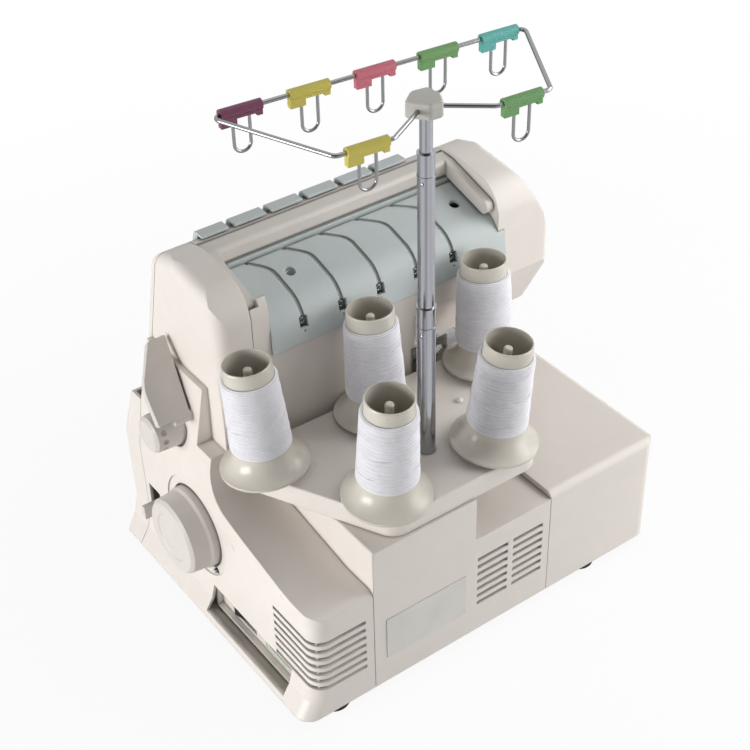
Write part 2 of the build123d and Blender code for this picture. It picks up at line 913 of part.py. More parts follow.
for i, x in enumerate(dial_places):
    dial = rod_x(x - dial_width / 2, x + dial_width / 2, dial_y, dial_z, dial_radius)
    dial = dial + rod_x(x - dial_width, x + dial_width, dial_y, dial_z, dial_axle)
    save(dial, "tension_dial_" + str(i + 1))
print("front done")

# ---------------------------------------------------------------- carrying handle
handle_line = outline([
    (handle_front_y, handle_top_z - handle_thick, 2.0),
    (handle_front_y, handle_top_z, 4.0),
    (handle_front_y + handle_bar, handle_top_z - 1.0, 4.0),
    (handle_pivot_y + handle_end_radius, handle_pivot_z + handle_end_radius, handle_end_radius - 0.5),
    (handle_pivot_y + handle_end_radius, handle_pivot_z - handle_end_radius, handle_end_radius - 0.5),
    (handle_front_y + handle_bar, handle_top_z - handle_thick, 6.0),
])
bar_line = outline([
    (handle_front_y, handle_top_z - handle_thick, 2.0),
    (handle_front_y, handle_top_z, 4.0),
    (handle_front_y + handle_bar, handle_top_z - 1.0, 4.0),
    (handle_front_y + handle_bar, handle_top_z - handle_thick, 3.0),
])
handle = prism_x(bar_line, handle_left_x, handle_right_x)
handle = handle + prism_x(handle_line, handle_left_x, handle_left_x + handle_arm)
handle = handle + prism_x(handle_line, handle_right_x - handle_arm, handle_right_x)
handle = handle + rod_x(
    handle_left_x - handle_pin_reach, handle_left_x + handle_arm / 2,
    handle_pivot_y, handle_pivot_z, handle_pivot_radius,
)
handle = handle + rod_x(
    handle_right_x - handle_arm / 2, handle_right_x + handle_pin_reach,
    handle_pivot_y, handle_pivot_z, handle_pivot_radius,
)
save(handle, "carrying_handle")

# ---------------------------------------------------------------- thread cover
def cover_layer(depth, x0, x1):
    """Cover volume drawn inward by a depth."""
    face = offset(cover_line, amount=-depth) if depth else cover_line
    return prism_x(face, x0, x1)


cover_hollow = cover_layer(cover_skin, cover_left_x + cover_skin, cover_right_x - cover_skin)
thread_cover = cover_layer(0.0, cover_left_x, cover_right_x) - cover_hollow
thread_cover = thread_cover - Pos(0, 0, -2 * cover_skin) * cover_hollow
groove_layer = cover_layer(0.0, cover_left_x, cover_right_x) - cover_layer(
    groove_depth, cover_left_x - 1.0, cover_right_x + 1.0
)
eyelet_places = []
for i in range(groove_count):
    x_top = groove_top_x - i * groove_top_pitch
    x_low = groove_low_x - i * groove_low_pitch
    lead = Bezier(
        (x_top + groove_width, cover_front_y - groove_width),
        ((x_top + x_low) / 2, cover_front_y + groove_bend / 2),
        (x_low, cover_front_y + groove_bend / 2),
        (x_low, cover_front_y + groove_bend),
    )
    run = Line(lead @ 1, (x_low, cover_low_y + 2 * groove_width))
    band = trace([lead, run], line_width=groove_width)
    channel = extrude(Plane.XY.offset(notch_top_z) * band, amount=tower_top_z - notch_top_z)
    thread_cover = thread_cover - (groove_layer & channel)
    notch = box(
        x_low - notch_width / 2, x_low + notch_width / 2, eyelet_y - 3.0, far,
        notch_top_z - notch_height, notch_top_z,
    )
    thread_cover = thread_cover - (notch & cover_layer(0.0, cover_left_x, cover_right_x))
    eyelet_places.append(x_low)
for x in (cover_left_x + cover_hole_left, cover_right_x - cover_hole_inset):
    thread_cover = thread_cover - rod_z(x, cover_hole_y, cover_low_z, tower_top_z, cover_hole_radius)
save(thread_cover, "thread_cover")

eyelets = []
for x in eyelet_places:
    z = notch_top_z - notch_height / 2
    foot_z = z - eyelet_radius - eyelet_stem
    ring = Pos(x, eyelet_y, z) * Rot(90, 0, 0) * Torus(eyelet_radius, eyelet_wire)
    stem = rod_z(x, eyelet_y, foot_z, z - eyelet_radius, eyelet_wire)
    peg = rod_y(x, eyelet_y - eyelet_wire, eyelet_y + eyelet_stem, foot_z, eyelet_wire)
    eyelets.append(ring + stem + peg)
save(Compound(children=eyelets), "groove_eyelets")

# ---------------------------------------------------------------- gutter beside the thread cover
gutter_line = offset(cover_line, amount=-gutter_drop)
gutter = gutter_line - offset(gutter_line, amount=-wall)
gutter_y = handle_front_y + handle_bar - 2.0
gutter_top_z = cover_front_z - gutter_drop - 0.6 * wall
gutter_region = box(-far, far, cover_front_y - far, far, cover_low_z - wall, far)
gutter_x0 = cover_right_x + seat_gap
tower_casing = tower_casing + (prism_x(gutter, gutter_x0, middle_x1) & gutter_region)
tower_casing = tower_casing + box(
    gutter_x0, middle_x1, cover_low_y - gutter_drop - 1.5 * wall, tower_rear_y,
    cover_low_z - 2 * wall, cover_low_z + gutter_drop + wall,
)
tower_casing = tower_casing + box(
    gutter_x0, middle_x1, gutter_y - wall, gutter_y,
    gutter_top_z - wall, handle_top_z - handle_thick - seam_gap,
)
tower_casing = tower_casing + box(
    gutter_x0, middle_x1, gutter_y - wall, cover_front_y + gutter_drop + wall,
    gutter_top_z - 2 * wall, gutter_top_z,
)
raised_arm = prism_x(
    offset(handle_line, amount=seam_gap),
    handle_right_x - handle_arm - seam_gap, middle_x1 + 1.0,
)
raised_arm = Pos(0, handle_pivot_y, handle_pivot_z) * Rot(-90, 0, 0) * Pos(
    0, -handle_pivot_y, -handle_pivot_z) * raised_arm
tower_casing = tower_casing - raised_arm
save(tower_casing, "tower_casing")
print("covers done")

# ---------------------------------------------------------------- spool tray
tray_outline = outline([
    (mast_x - tray_front_half, tray_front_y, tray_corner),
    (mast_x + tray_front_half, tray_front_y, tray_corner),
    (mast_x + tray_rear_half, tray_rear_y, tray_corner),
    (mast_x - tray_rear_half, tray_rear_y, tray_corner),
])
tray = prism_z(tray_outline, tray_bottom_z, tray_top_z)
tray = chamfer(tray.faces().sort_by(Axis.Z)[-1].outer_wire().edges(), tray_edge)
tray = tray - prism_z(offset(tray_outline, amount=-tray_skin), tray_bottom_z - 1.0, tray_top_z - tray_skin)
spool_places = [
    (front_row_x, front_row_y, spool_side_lean, spool_front_lean),
    (front_row_x - front_row_pitch, front_row_y, 0.0, spool_front_lean),
    (front_row_x - front_row_pitch - front_row_last, front_row_y, -spool_side_lean / 3, spool_front_lean),
    (rear_row_x, rear_row_y, 0.0, -spool_rear_lean),
    (rear_row_x - rear_row_pitch, rear_row_y, -spool_side_lean - 1.0, -spool_rear_lean),
]


def seated(place, shape):
    """Shape drawn about the origin, moved to a spool place with its lean."""
    x, y, side, forward = place
    return Pos(x, y, tray_top_z + boss_height) * Rot(forward, side, 0) * shape


for place in spool_places:
    boss = seated(place, Pos(0, 0, -boss_height) * Cylinder(boss_radius, 2 * boss_height))
    boss = boss & box(-far, far, -far, far, tray_top_z - tray_skin, far)
    tray = tray + boss
    tray = tray + rod_z(place[0], place[1], tray_bottom_z + 1.0, tray_top_z - tray_skin, pin_radius + wall)
tray = tray + rod_z(mast_x, mast_y, tray_bottom_z + 1.0, tray_top_z, mast_post_radius)
tray = tray - rod_z(mast_x, mast_y, tray_top_z - mast_foot_drop, far, lower_tube_radius + run_gap)
tray = tray + (Pos(peg_x, peg_y, tray_top_z) * Sphere(peg_radius)) & box(
    -far, far, -far, far, tray_bottom_z, far
)
save(tray, "spool_tray")

pins = []
cone_bore = pin_radius + run_gap
for i, place in enumerate(spool_places):
    pin = Pos(0, 0, pin_height / 2) * Cylinder(pin_radius, pin_height)
    pin = fillet(pin.edges().sort_by(Axis.Z)[-1], pin_radius / 2)
    pins.append(seated(place, pin))
save(Compound(children=pins), "spool_pins")


def cone_radius(z):
    """Outer radius of the cone's barrel."""
    part = (z - cone_neck_height) / (cone_height - cone_neck_height)
    return cone_neck_radius + (cone_top_radius - cone_neck_radius) * part


def cone_face():
    """Half section of a thread cone."""
    flange = Line((cone_bore, 0), (cone_flange_radius, 0))
    edge = Line(flange @ 1, (cone_flange_radius, cone_flange_thick))
    flare = Bezier(
        edge @ 1,
        (cone_neck_radius + cone_flare, cone_flange_thick + cone_flare / 2),
        (cone_neck_radius + 0.5, cone_neck_height - cone_flare),
        (cone_neck_radius, cone_neck_height),
    )
    barrel = Line(flare @ 1, (cone_top_radius, cone_height - 1.0))
    rim_out = Line(barrel @ 1, (cone_top_radius - 0.5, cone_height))
    rim = Line(rim_out @ 1, (cone_top_radius - cone_skin, cone_height))
    inside = Line(rim @ 1, (cone_neck_radius - 1.5 * cone_skin, cone_neck_height))
    floor = Line(inside @ 1, (cone_hub_radius, cone_hub_height - cone_skin))
    hub = Line(floor @ 1, (cone_bore, cone_hub_height))
    bore = Line(hub @ 1, (cone_bore, 0))
    return make_face([flange, edge, flare, barrel, rim_out, rim, inside, floor, hub, bore])


cone = revolve(Plane.XZ * cone_face(), Axis.Z)
cone = cone - turned([
    (cone_hub_radius, -1.0),
    (cone_flange_radius - 3 * cone_skin, -1.0),
    (cone_neck_radius - 1.0, cone_neck_height / 4),
    (cone_neck_radius - 3 * cone_skin, cone_neck_height - 4 * cone_skin),
    (cone_hub_radius, cone_neck_height - 4 * cone_skin),
])
winding = turned([
    (cone_radius(winding_bottom) + seat_gap, winding_bottom),
    (winding_radius_bottom - winding_edge / 2, winding_bottom),
    (winding_radius_bottom, winding_bottom + winding_edge),
    (winding_radius_top, winding_top - winding_edge),
    (winding_radius_top - winding_edge / 2, winding_top),
    (cone_radius(winding_top) + seat_gap, winding_top),
])
for i, place in enumerate(spool_places):
    save(seated(place, cone), "spool_cone_" + str(i + 1))
    save(seated(place, winding), "thread_winding_" + str(i + 1))
print("spools done")

# ---------------------------------------------------------------- mast and guides
tray_socket_z = tray_top_z - mast_foot_drop
lower_tube = rod_z(mast_x, mast_y, tray_socket_z, lower_tube_top_z, lower_tube_radius)
lower_tube = lower_tube - rod_z(mast_x, mast_y, tray_socket_z - 1.0, far, middle_tube_radius + run_gap)
for z in (lower_tube_top_z - collar_height, lower_tube_top_z - 1.0):
    ring = rod_z(mast_x, mast_y, z, z + 1.0, lower_tube_radius + collar_step)
    lower_tube = lower_tube + (ring - rod_z(mast_x, mast_y, 0.0, far, middle_tube_radius + run_gap))
save(lower_tube, "mast_lower_tube")

middle_foot_z = lower_tube_top_z - middle_tube_overlap
middle_tube = rod_z(mast_x, mast_y, middle_foot_z, middle_tube_top_z, middle_tube_radius)
for z in (middle_tube_top_z - collar_height, middle_tube_top_z - 1.0):
    middle_tube = middle_tube + rod_z(mast_x, mast_y, z, z + 1.0, middle_tube_radius + collar_step)
middle_tube = middle_tube - rod_z(mast_x, mast_y, 0.0, far, top_tube_radius + run_gap)
save(middle_tube, "mast_middle_tube")

cap_socket_z = cap_bottom_z + cap_height / 2
top_foot_z = middle_tube_top_z - top_tube_overlap
save(rod_z(mast_x, mast_y, top_foot_z, cap_socket_z, top_tube_radius), "mast_top_tube")


def on_mast(shape):
    """Shape drawn about the mast's axis, turned by the rail's yaw."""
    return Pos(mast_x, mast_y, 0) * Rot(0, 0, rail_yaw) * shape


cap_face = make_face(Polyline(*cap_corners, close=True))
cap = prism_z(cap_face, cap_bottom_z, cap_bottom_z + cap_height)
cap = chamfer(cap.edges(), cap_chamfer)
rail_points = [
    (cap_exit_half, cap_exit_reach, rail_z),
    (rail_inner_half, rail_inner_reach, rail_z),
    (rail_rear_half, rail_rear_reach, rail_z),
    (rail_front_half, -rail_front_reach, rail_z),
]
mirrored = [(-x, y, z) for x, y, z in reversed(rail_points)]
rail = wire(rail_points + mirrored, rail_radius, rail_bend)
cap = cap - rail - rod_z(0, 0, 0.0, cap_socket_z, top_tube_radius + run_gap)
save(on_mast(cap), "mast_cap")
save(on_mast(rail), "guide_rail")


def clip(x, y):
    """Guide clip on a straight run of the rail along X."""
    body = rod_x(x - clip_length / 2, x + clip_length / 2, y, rail_z, clip_radius)
    lug = box(
        x + clip_length / 2 - clip_lug_length, x + clip_length / 2, y - clip_tab_thick / 2,
        y + clip_tab_thick / 2, rail_z - clip_lug_height - clip_radius, rail_z,
    )
    tip = box(
        x - clip_length / 2, x - clip_length / 2 + clip_tip_length, y - clip_tab_thick / 2,
        y + clip_tab_thick / 2, rail_z - clip_tip_height, rail_z,
    )
    web = box(
        x - clip_length / 2, x + clip_length / 2, y - clip_tab_thick / 2,
        y + clip_tab_thick / 2, rail_z - clip_radius - 1.0, rail_z,
    )
    bore = rod_x(x - clip_length, x + clip_length, y, rail_z, rail_radius + run_gap)
    return body + lug + tip + web - bore


front_clips = [2 * clip_pitch, clip_pitch, 0.0, -clip_pitch, -2 * clip_pitch]
row_y = -rail_front_reach
clip_sets = {
    "guide_clip_plum": [(front_clips[0], row_y)],
    "guide_clips_yellow": [(front_clips[1], row_y), (clip_rear_half, rail_rear_reach)],
    "guide_clip_pink": [(front_clips[2], row_y)],
    "guide_clips_green": [(front_clips[3], row_y), (-clip_rear_half, rail_rear_reach)],
    "guide_clip_teal": [(front_clips[4], row_y)],
}
loops = []
for name, places in clip_sets.items():
    clips = []
    for x, y in places:
        top_z = rail_z - clip_radius + 1.0
        path = [
            (x + loop_half, y, top_z),
            (x + loop_half, y, rail_z - loop_drop),
            (x - loop_half, y, rail_z - loop_drop),
            (x - loop_half, y, top_z),
        ]
        loop = wire(path, loop_radius, loop_half - 0.2)
        clips.append(clip(x, y) - loop)
        loops.append(loop)
    save(on_mast(Compound(children=clips)), name)
save(on_mast(Compound(children=loops)), "guide_loops")

bracket_wall = box(
    bracket_x - bracket_half, bracket_x + bracket_half, tower_rear_y, tower_rear_y + bracket_thick,
    tray_bottom_z - bracket_thick, bracket_top_z,
)
bracket_shelf = box(
    bracket_x - bracket_half, bracket_x + bracket_half, tower_rear_y, tray_front_y + bracket_reach,
    tray_bottom_z - bracket_thick, tray_bottom_z,
)
bracket = bracket_wall + bracket_shelf
bracket = bracket - rod_y(
    bracket_x - bracket_hole_shift, tower_rear_y - 1.0, tower_rear_y + bracket_thick + 1.0,
    bracket_hole_z, bracket_hole_radius,
)
save(bracket, "stand_bracket")
print("mast done")

# ---------------------------------------------------------------- side controls
wheel_back_x = wheel_well_x + seat_gap
wheel_face_x = right_x + handwheel_reach
wheel_step_x = casing_right_x + wheel_step
wheel_profile = [
    (0.0, wheel_back_x),
    (wheel_back_radius - wheel_round, wheel_back_x),
    (wheel_back_radius, wheel_back_x + wheel_round),
    (wheel_back_radius, wheel_step_x),
    (wheel_radius + wheel_round / 2, wheel_step_x + wheel_round),
    (wheel_radius, wheel_face_x - wheel_round),
    (wheel_radius - wheel_round, wheel_face_x),
    (wheel_dish_radius, wheel_face_x),
    (wheel_dish_radius - 1.0, wheel_face_x - wheel_dish),
    (0.0, wheel_face_x - wheel_dish),
]
wheel = Pos(0, wheel_y, wheel_z) * Rot(0, 90, 0) * turned(wheel_profile)
shaft_tip_x = wheel_face_x - 3 * wheel_round
wheel = wheel - rod_x(0.0, shaft_tip_x, wheel_y, wheel_z, shaft_radius + run_gap)
save(wheel, "handwheel")
save(rod_x(frame_left_x - 2.0, shaft_tip_x, wheel_y, wheel_z, shaft_radius), "main_shaft")

knob_back_x = knob_well_x + seat_gap
knob_profile = [
    (0.0, knob_back_x),
    (knob_radius, knob_back_x),
    (knob_radius - knob_taper, knob_face_x - knob_round),
    (knob_radius - knob_taper - knob_round, knob_face_x),
    (0.0, knob_face_x + knob_dome),
]
knob = Pos(0, knob_y, knob_z) * Rot(0, 90, 0) * turned(knob_profile)
dimple = Pos(knob_dimple_x, knob_y, knob_z + knob_radius) * Sphere(knob_dimple_radius)
for i in range(knob_dimple_count):
    turn = Pos(0, knob_y, knob_z) * Rot(360 * i / knob_dimple_count, 0, 0) * Pos(0, -knob_y, -knob_z)
    knob = knob - turn * dimple
knob = knob + rod_x(knob_back_x - knob_stem, knob_back_x + 1.0, knob_y, knob_z, knob_stem_radius)
save(knob, "stitch_length_knob")

blade_face = outline([
    (lifter_inner_low_x, 0.0, 1.5),
    (lifter_inner_low_x + lifter_low_width, 0.0, 2.5),
    (lifter_inner_low_x + lifter_low_width - 2.0, lifter_length / 2, 30.0),
    (lifter_inner_top_x + lifter_top_width, lifter_length, 3.0),
    (lifter_inner_top_x, lifter_length, 1.5),
])
blade = extrude(blade_face, amount=lifter_thick)
lean = Pos(0, lifter_low_y, lifter_low_z) * Rot(180 - lifter_angle, 0, 0) * Pos(0, 0, -lifter_thick / 2)
lifter = lean * blade
lifter = lifter + rod_x(
    lifter_inner_low_x - lifter_stem, lifter_inner_low_x + lifter_low_width / 2,
    lifter_low_y, lifter_low_z, knob_stem_radius,
)
save(lifter, "presser_lifter")

tab_x1 = casing_right_x - wall - tab_arm_thick / 2
tab_x0 = tab_x1 - tab_arm_thick
tab_arm_face = make_hull(
    [Pos(tab_pivot_y, tab_pivot_z) * Circle(2 * tab_pin_radius).edge()]
    + [Pos(tab_y, tab_z) * Circle(tab_depth).edge()]
)
lever = prism_x(tab_arm_face, tab_x0, tab_x1)
lever = lever + box(
    tab_x0, tab_reach_x, tab_y - tab_depth / 2, tab_y + tab_depth / 2,
    tab_z - tab_height / 2, tab_z + tab_height / 2,
)
lever = lever - rod_x(0.0, far, tab_pivot_y, tab_pivot_z, tab_pin_radius + run_gap)
save(lever, "differential_lever")

bay_floor_x = casing_right_x - bay_depth
rocker_middle = (rocker_y0 + rocker_y1) / 2
rocker_face = outline([
    (bay_floor_x + rocker_rise, rocker_y0, 1.0),
    (bay_floor_x + rocker_rise / 4, rocker_middle, 0),
    (bay_floor_x + rocker_rise / 5, rocker_y1, 0.5),
    (bay_floor_x - rocker_sink, rocker_y1, 0.5),
    (bay_floor_x - 2 * rocker_sink, rocker_middle, 0),
    (bay_floor_x - rocker_sink / 2, rocker_y0, 0),
])
rocker_z0 = bay_z0 + rocker_room + seat_gap
rocker_z1 = bay_z1 - rocker_room - seat_gap
rocker_axle_x = bay_floor_x - wall / 2
rocker_bore = rod_z(
    rocker_axle_x, rocker_middle, rocker_z0 - rocker_axle_reach - seat_gap,
    rocker_z1 + rocker_axle_reach + seat_gap, rocker_axle_radius + run_gap,
)
side_casing = side_casing - rocker_bore
rocker = prism_z(rocker_face, rocker_z0, rocker_z1) + rod_z(
    rocker_axle_x, rocker_middle, rocker_z0 - rocker_axle_reach, rocker_z1 + rocker_axle_reach,
    rocker_axle_radius,
)
save(rocker, "power_rocker")

inlet = box(inlet_x0, inlet_x1, inlet_y0, inlet_y1, inlet_z0, inlet_z1)
inlet = fillet(inlet.edges().filter_by(Axis.X), inlet_rim)
socket = box(
    inlet_x0 + inlet_floor, inlet_x1 + 1.0, inlet_y0 + inlet_rim, inlet_y1 - inlet_rim,
    inlet_z0 + inlet_rim, inlet_z1 - inlet_rim,
)
inlet = inlet - fillet(socket.edges().filter_by(Axis.X), inlet_rim)
inlet_middle = (inlet_y0 + inlet_y1) / 2
for i in range(3):
    y = inlet_middle + (i - 1) * inlet_pin_pitch
    inlet = inlet + rod_x(
        inlet_x0 + inlet_floor / 2, inlet_x1 - inlet_floor, y, (inlet_z0 + inlet_z1) / 2, inlet_pin_radius
    )
save(inlet, "inlet_socket")
save(side_casing, "side_casing")
print("controls done")

# ---------------------------------------------------------------- base
pan_outline = outline([
    (left_x + pan_inset, bed_front_y + pan_inset, corner_radius),
    (throat_x, bed_front_y + pan_inset, 0),
    (throat_x, hinge_y + 2 * pan_thick, 0),
    (right_x - pan_inset, hinge_y + 2 * pan_thick, pan_inset),
    (right_x - pan_inset, rear_y - pan_inset, corner_radius),
    (left_x + pan_inset, rear_y - pan_inset, corner_radius),
])
pan = prism_z(pan_outline, pan_bottom_z, pan_top_z)
for x in (throat_x + 2 * hinge_length, casing_right_x - 2 * hinge_length):
    for side in (-1, 1):
        ear_x = x + side * (hinge_length / 2 + hinge_ear / 2 + seat_gap)
        ear_x0 = ear_x - hinge_ear / 2
        ear_x1 = ear_x + hinge_ear / 2
        ear = box(
            ear_x0, ear_x1, hinge_y - hinge_knuckle_radius, hinge_y + 3 * pan_thick, pan_bottom_z, hinge_z
        )
        pan = pan + ear + rod_x(ear_x0, ear_x1, hinge_y, hinge_z, hinge_knuckle_radius)
        door = door - box(
            ear_x0 - seat_gap, ear_x1 + seat_gap, -far, hinge_y + wall, -far,
            hinge_z + hinge_knuckle_radius + hinge_room,
        )
    pan = pan + rod_x(
        x - hinge_length / 2 - hinge_ear, x + hinge_length / 2 + hinge_ear, hinge_y, hinge_z,
        hinge_pin_radius,
    )
    knuckle = rod_x(x - hinge_length / 2, x + hinge_length / 2, hinge_y, hinge_z, hinge_knuckle_radius)
    door = door + (knuckle & tower_out)
    door = door - rod_x(
        x - hinge_length, x + hinge_length, hinge_y, hinge_z, hinge_pin_radius + run_gap
    )
save(door, "looper_cover")
save(pan, "base_pan")

feet = []
for x in (foot_left_x, foot_right_x):
    for y in (foot_front_y, foot_rear_y):
        foot = turned([
            (0.0, 1.0),
            (foot_dish, 1.0),
            (foot_dish, 0.0),
            (foot_radius - 1.0, 0.0),
            (foot_radius, 1.0),
            (foot_radius - 1.0, pan_bottom_z),
            (0.0, pan_bottom_z),
        ])
        feet.append(Pos(x, y, 0) * foot)
save(Compound(children=feet), "rubber_feet")

# ---------------------------------------------------------------- machine frame
frame = box(
    frame_left_x, frame_right_x + frame_web, frame_y0, frame_y1, pan_top_z, frame_foot_top_z
)
for x in (frame_left_x, frame_right_x):
    frame = frame + box(x, x + frame_web, frame_y0, frame_y1, frame_foot_top_z, frame_arm_z0)
frame = frame + box(
    head_block_x0, frame_right_x + frame_web, head_block_y0, head_block_y1, frame_arm_z0, frame_arm_z1
)
frame = frame + box(
    head_block_x0, head_block_x1, head_block_y0, head_block_y1, head_block_z0, frame_arm_z1
)
frame = frame - rod_x(frame_left_x - 1.0, far, wheel_y, wheel_z, shaft_radius + run_gap)
frame = frame - rod_z(needle_x, needle_y, 0.0, far, needle_bar_radius + run_gap)
frame = frame - rod_z(needle_x, presser_y, 0.0, far, presser_bar_radius + run_gap)
frame = frame + box(
    motor_x0, motor_x1, motor_y - motor_boss, motor_y + motor_boss, pan_top_z, motor_z - motor_radius + 1.0
)
frame = frame + box(
    motor_x0, motor_x0 + frame_web, frame_y1 - 1.0, motor_y, pan_top_z, motor_z - motor_radius
)
frame = frame - rod_x(motor_x0 - 1.0, motor_x1 + 1.0, motor_y, motor_z, motor_radius)
post_places = []
for x in (plate_x0 + 2 * plate_post_half, plate_x1 - 2 * plate_post_half):
    for y in (plate_y0 + 2 * plate_post_half, plate_y1 - 2 * plate_post_half):
        post_places.append((x, y))
plate_low_z = bed_top_z - needle_plate_thick
for x, y in post_places:
    frame = frame + box(
        x - plate_post_half, x + plate_post_half, y - plate_post_half, y + plate_post_half,
        pan_top_z, plate_low_z,
    )
frame = frame + box(
    post_places[0][0] - plate_post_half, frame_left_x + 1.0, frame_y0, frame_y0 + frame_web,
    pan_top_z, frame_foot_top_z,
)
frame = frame + box(
    post_places[0][0] - plate_post_half, frame_left_x + 1.0,
    post_places[1][1] - plate_post_half, post_places[1][1] + plate_post_half,
    pan_top_z, frame_foot_top_z,
)
frame = frame + box(
    post_places[0][0] - plate_post_half, post_places[0][0] + plate_post_half,
    post_places[0][1], post_places[1][1], pan_top_z, frame_foot_top_z,
)
frame = frame + box(
    post_places[2][0] - plate_post_half, post_places[2][0] + plate_post_half,
    post_places[2][1], post_places[3][1], pan_top_z, frame_foot_top_z,
)
looper_specs = [
    ("upper_looper", looper_upper_x, looper_upper_z, looper_upper_y, needle_x + looper_clear),
    ("lower_looper", looper_lower_x, looper_lower_z, looper_lower_y, needle_x - looper_clear),
]
for name, x, z, y, tip_x in looper_specs:
    frame = frame + rod_y(x, y - looper_pin, y + looper_pin, z, looper_bore)
    frame = frame + box(
        x - looper_arm / 2, x + looper_arm / 2, y + looper_thick, y + looper_pin,
        pan_top_z, z + looper_arm / 2,
    )
frame = frame + box(
    post_places[2][0], looper_upper_x + looper_arm / 2, looper_upper_y + looper_thick,
    looper_upper_y + looper_pin, pan_top_z, frame_foot_top_z,
)
guide_half_x = knife_thick / 2 + knife_guide_wall
guide_half_y = knife_width / 2 + knife_guide_wall
frame = frame + box(
    knife_x - guide_half_x, knife_x + guide_half_x, knife_y - guide_half_y, knife_y + guide_half_y,
    frame_foot_top_z - 1.0, knife_guide_z1,
)
frame = frame - box(
    knife_x - knife_thick / 2 - run_gap, knife_x + knife_thick / 2 + run_gap,
    knife_y - knife_width / 2 - run_gap, knife_y + knife_width / 2 + run_gap, knife_guide_z0, far,
)
save(frame, "machine_frame")

motor = rod_x(motor_x0, motor_x1, motor_y, motor_z, motor_radius - run_gap)
motor = motor + rod_x(motor_x0 - motor_boss, motor_x1 + motor_boss, motor_y, motor_z, motor_boss)
save(motor, "drive_motor")

# ---------------------------------------------------------------- sewing parts
needle_bar = rod_z(needle_x, needle_y, needle_clamp_z, needle_bar_top_z, needle_bar_radius)
needle_bar = needle_bar + box(
    needle_x - needle_clamp_width / 2, needle_x + needle_clamp_width / 2,
    needle_y - needle_clamp_depth / 2, needle_y + needle_clamp_depth / 2,
    needle_clamp_z, needle_clamp_z + needle_clamp_height,
)
for side in (-1, 1):
    x = needle_x + side * needle_pitch / 2
    needle_bar = needle_bar + rod_z(x, needle_y, needle_tip_z, needle_clamp_z + 1.0, needle_radius)
save(needle_bar, "needle_bar")

save(
    rod_z(needle_x, presser_y, presser_ankle_z, presser_bar_top_z, presser_bar_radius), "presser_bar"
)
sole = box(
    needle_x - foot_sole_width / 2, needle_x + foot_sole_width / 2, foot_toe_y, foot_heel_y,
    foot_sole_z, foot_sole_z + foot_sole_thick,
)
sole = sole - box(
    needle_x - needle_pitch, needle_x + needle_pitch, needle_y - needle_pitch, needle_y + needle_pitch,
    0.0, far,
)
presser_foot = sole + box(
    needle_x - presser_bar_radius, needle_x + presser_bar_radius,
    presser_y - presser_bar_radius, presser_y + presser_bar_radius, foot_sole_z, presser_ankle_z,
)
save(presser_foot, "presser_foot")

plate = box(
    plate_x0 + seat_gap, plate_x1 - seat_gap, plate_y0 + seat_gap, plate_y1 - seat_gap,
    plate_low_z, bed_top_z,
)
dog_places = [needle_x - dog_pitch / 2 - dog_width, needle_x + dog_pitch / 2 + dog_width]
for x in dog_places:
    half = dog_width / 2 + seat_gap
    plate = plate - box(x - half, x + half, dog_y0 - 2 * dog_travel, dog_y1 + 2 * dog_travel, 0.0, far)
plate = plate - box(
    needle_x - needle_pitch, needle_x + needle_pitch,
    needle_y - needle_pitch / 2, needle_y + needle_pitch / 2, 0.0, far,
)
knife_slot = seat_gap + knife_thick / 2
plate = plate - box(
    knife_x - knife_slot, knife_x + knife_slot, knife_y - knife_width, knife_y + knife_width, 0.0, far
)
save(plate, "needle_plate")

dog_top_z = bed_top_z + dog_rise
dogs = []
for x in dog_places:
    rows = int((dog_y1 - dog_y0) / dog_tooth)
    bar = box(
        x - dog_width / 2, x + dog_width / 2, dog_y0, dog_y1, bed_top_z - dog_height, dog_top_z - dog_rise
    )
    for i in range(rows):
        y = dog_y0 + i * dog_tooth
        tooth = make_face(Polyline(
            (y, bed_top_z - dog_rise), (y, bed_top_z), (y + dog_tooth / 2, dog_top_z),
            (y + dog_tooth, bed_top_z), (y + dog_tooth, bed_top_z - dog_rise), close=True,
        ))
        bar = bar + prism_x(tooth, x - dog_width / 2, x + dog_width / 2)
    dogs.append(bar)
bridge = box(
    dog_places[0] - dog_width / 2, dog_places[1] + dog_width / 2, dog_y0, dog_y0 + dog_width,
    bed_top_z - dog_height, bed_top_z - dog_height / 2,
)
save(dogs[0] + dogs[1] + bridge, "feed_dogs")

for name, x, z, y, tip_x in looper_specs:
    hub = Circle(2 * looper_bore).edge()
    tip = Circle(1.0).edge()
    elbow_x = (x + tip_x) / 2
    lower = make_hull([Pos(x, z) * hub, Pos(elbow_x, looper_tip_z - 3 * looper_arm) * tip])
    upper = make_hull([
        Pos(elbow_x, looper_tip_z - 3 * looper_arm) * tip, Pos(tip_x, looper_tip_z - 2.0) * tip
    ])
    looper = prism_y(lower, y - looper_thick / 2, y + looper_thick / 2)
    looper = looper + prism_y(upper, y - looper_thick / 2, y + looper_thick / 2)
    looper = looper - rod_y(x, y - far, y + far, z, looper_bore + run_gap)
    save(looper, name)

knife = box(
    knife_x - knife_thick / 2, knife_x + knife_thick / 2, knife_y - knife_width / 2,
    knife_y + knife_width / 2, knife_low_z, knife_top_z,
)
save(knife, "upper_knife")
print("mechanism done")
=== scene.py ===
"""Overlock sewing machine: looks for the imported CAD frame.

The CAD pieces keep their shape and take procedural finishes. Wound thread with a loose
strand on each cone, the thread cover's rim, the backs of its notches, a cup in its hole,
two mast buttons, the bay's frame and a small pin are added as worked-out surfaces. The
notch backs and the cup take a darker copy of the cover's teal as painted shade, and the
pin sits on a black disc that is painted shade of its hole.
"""
import json
import math

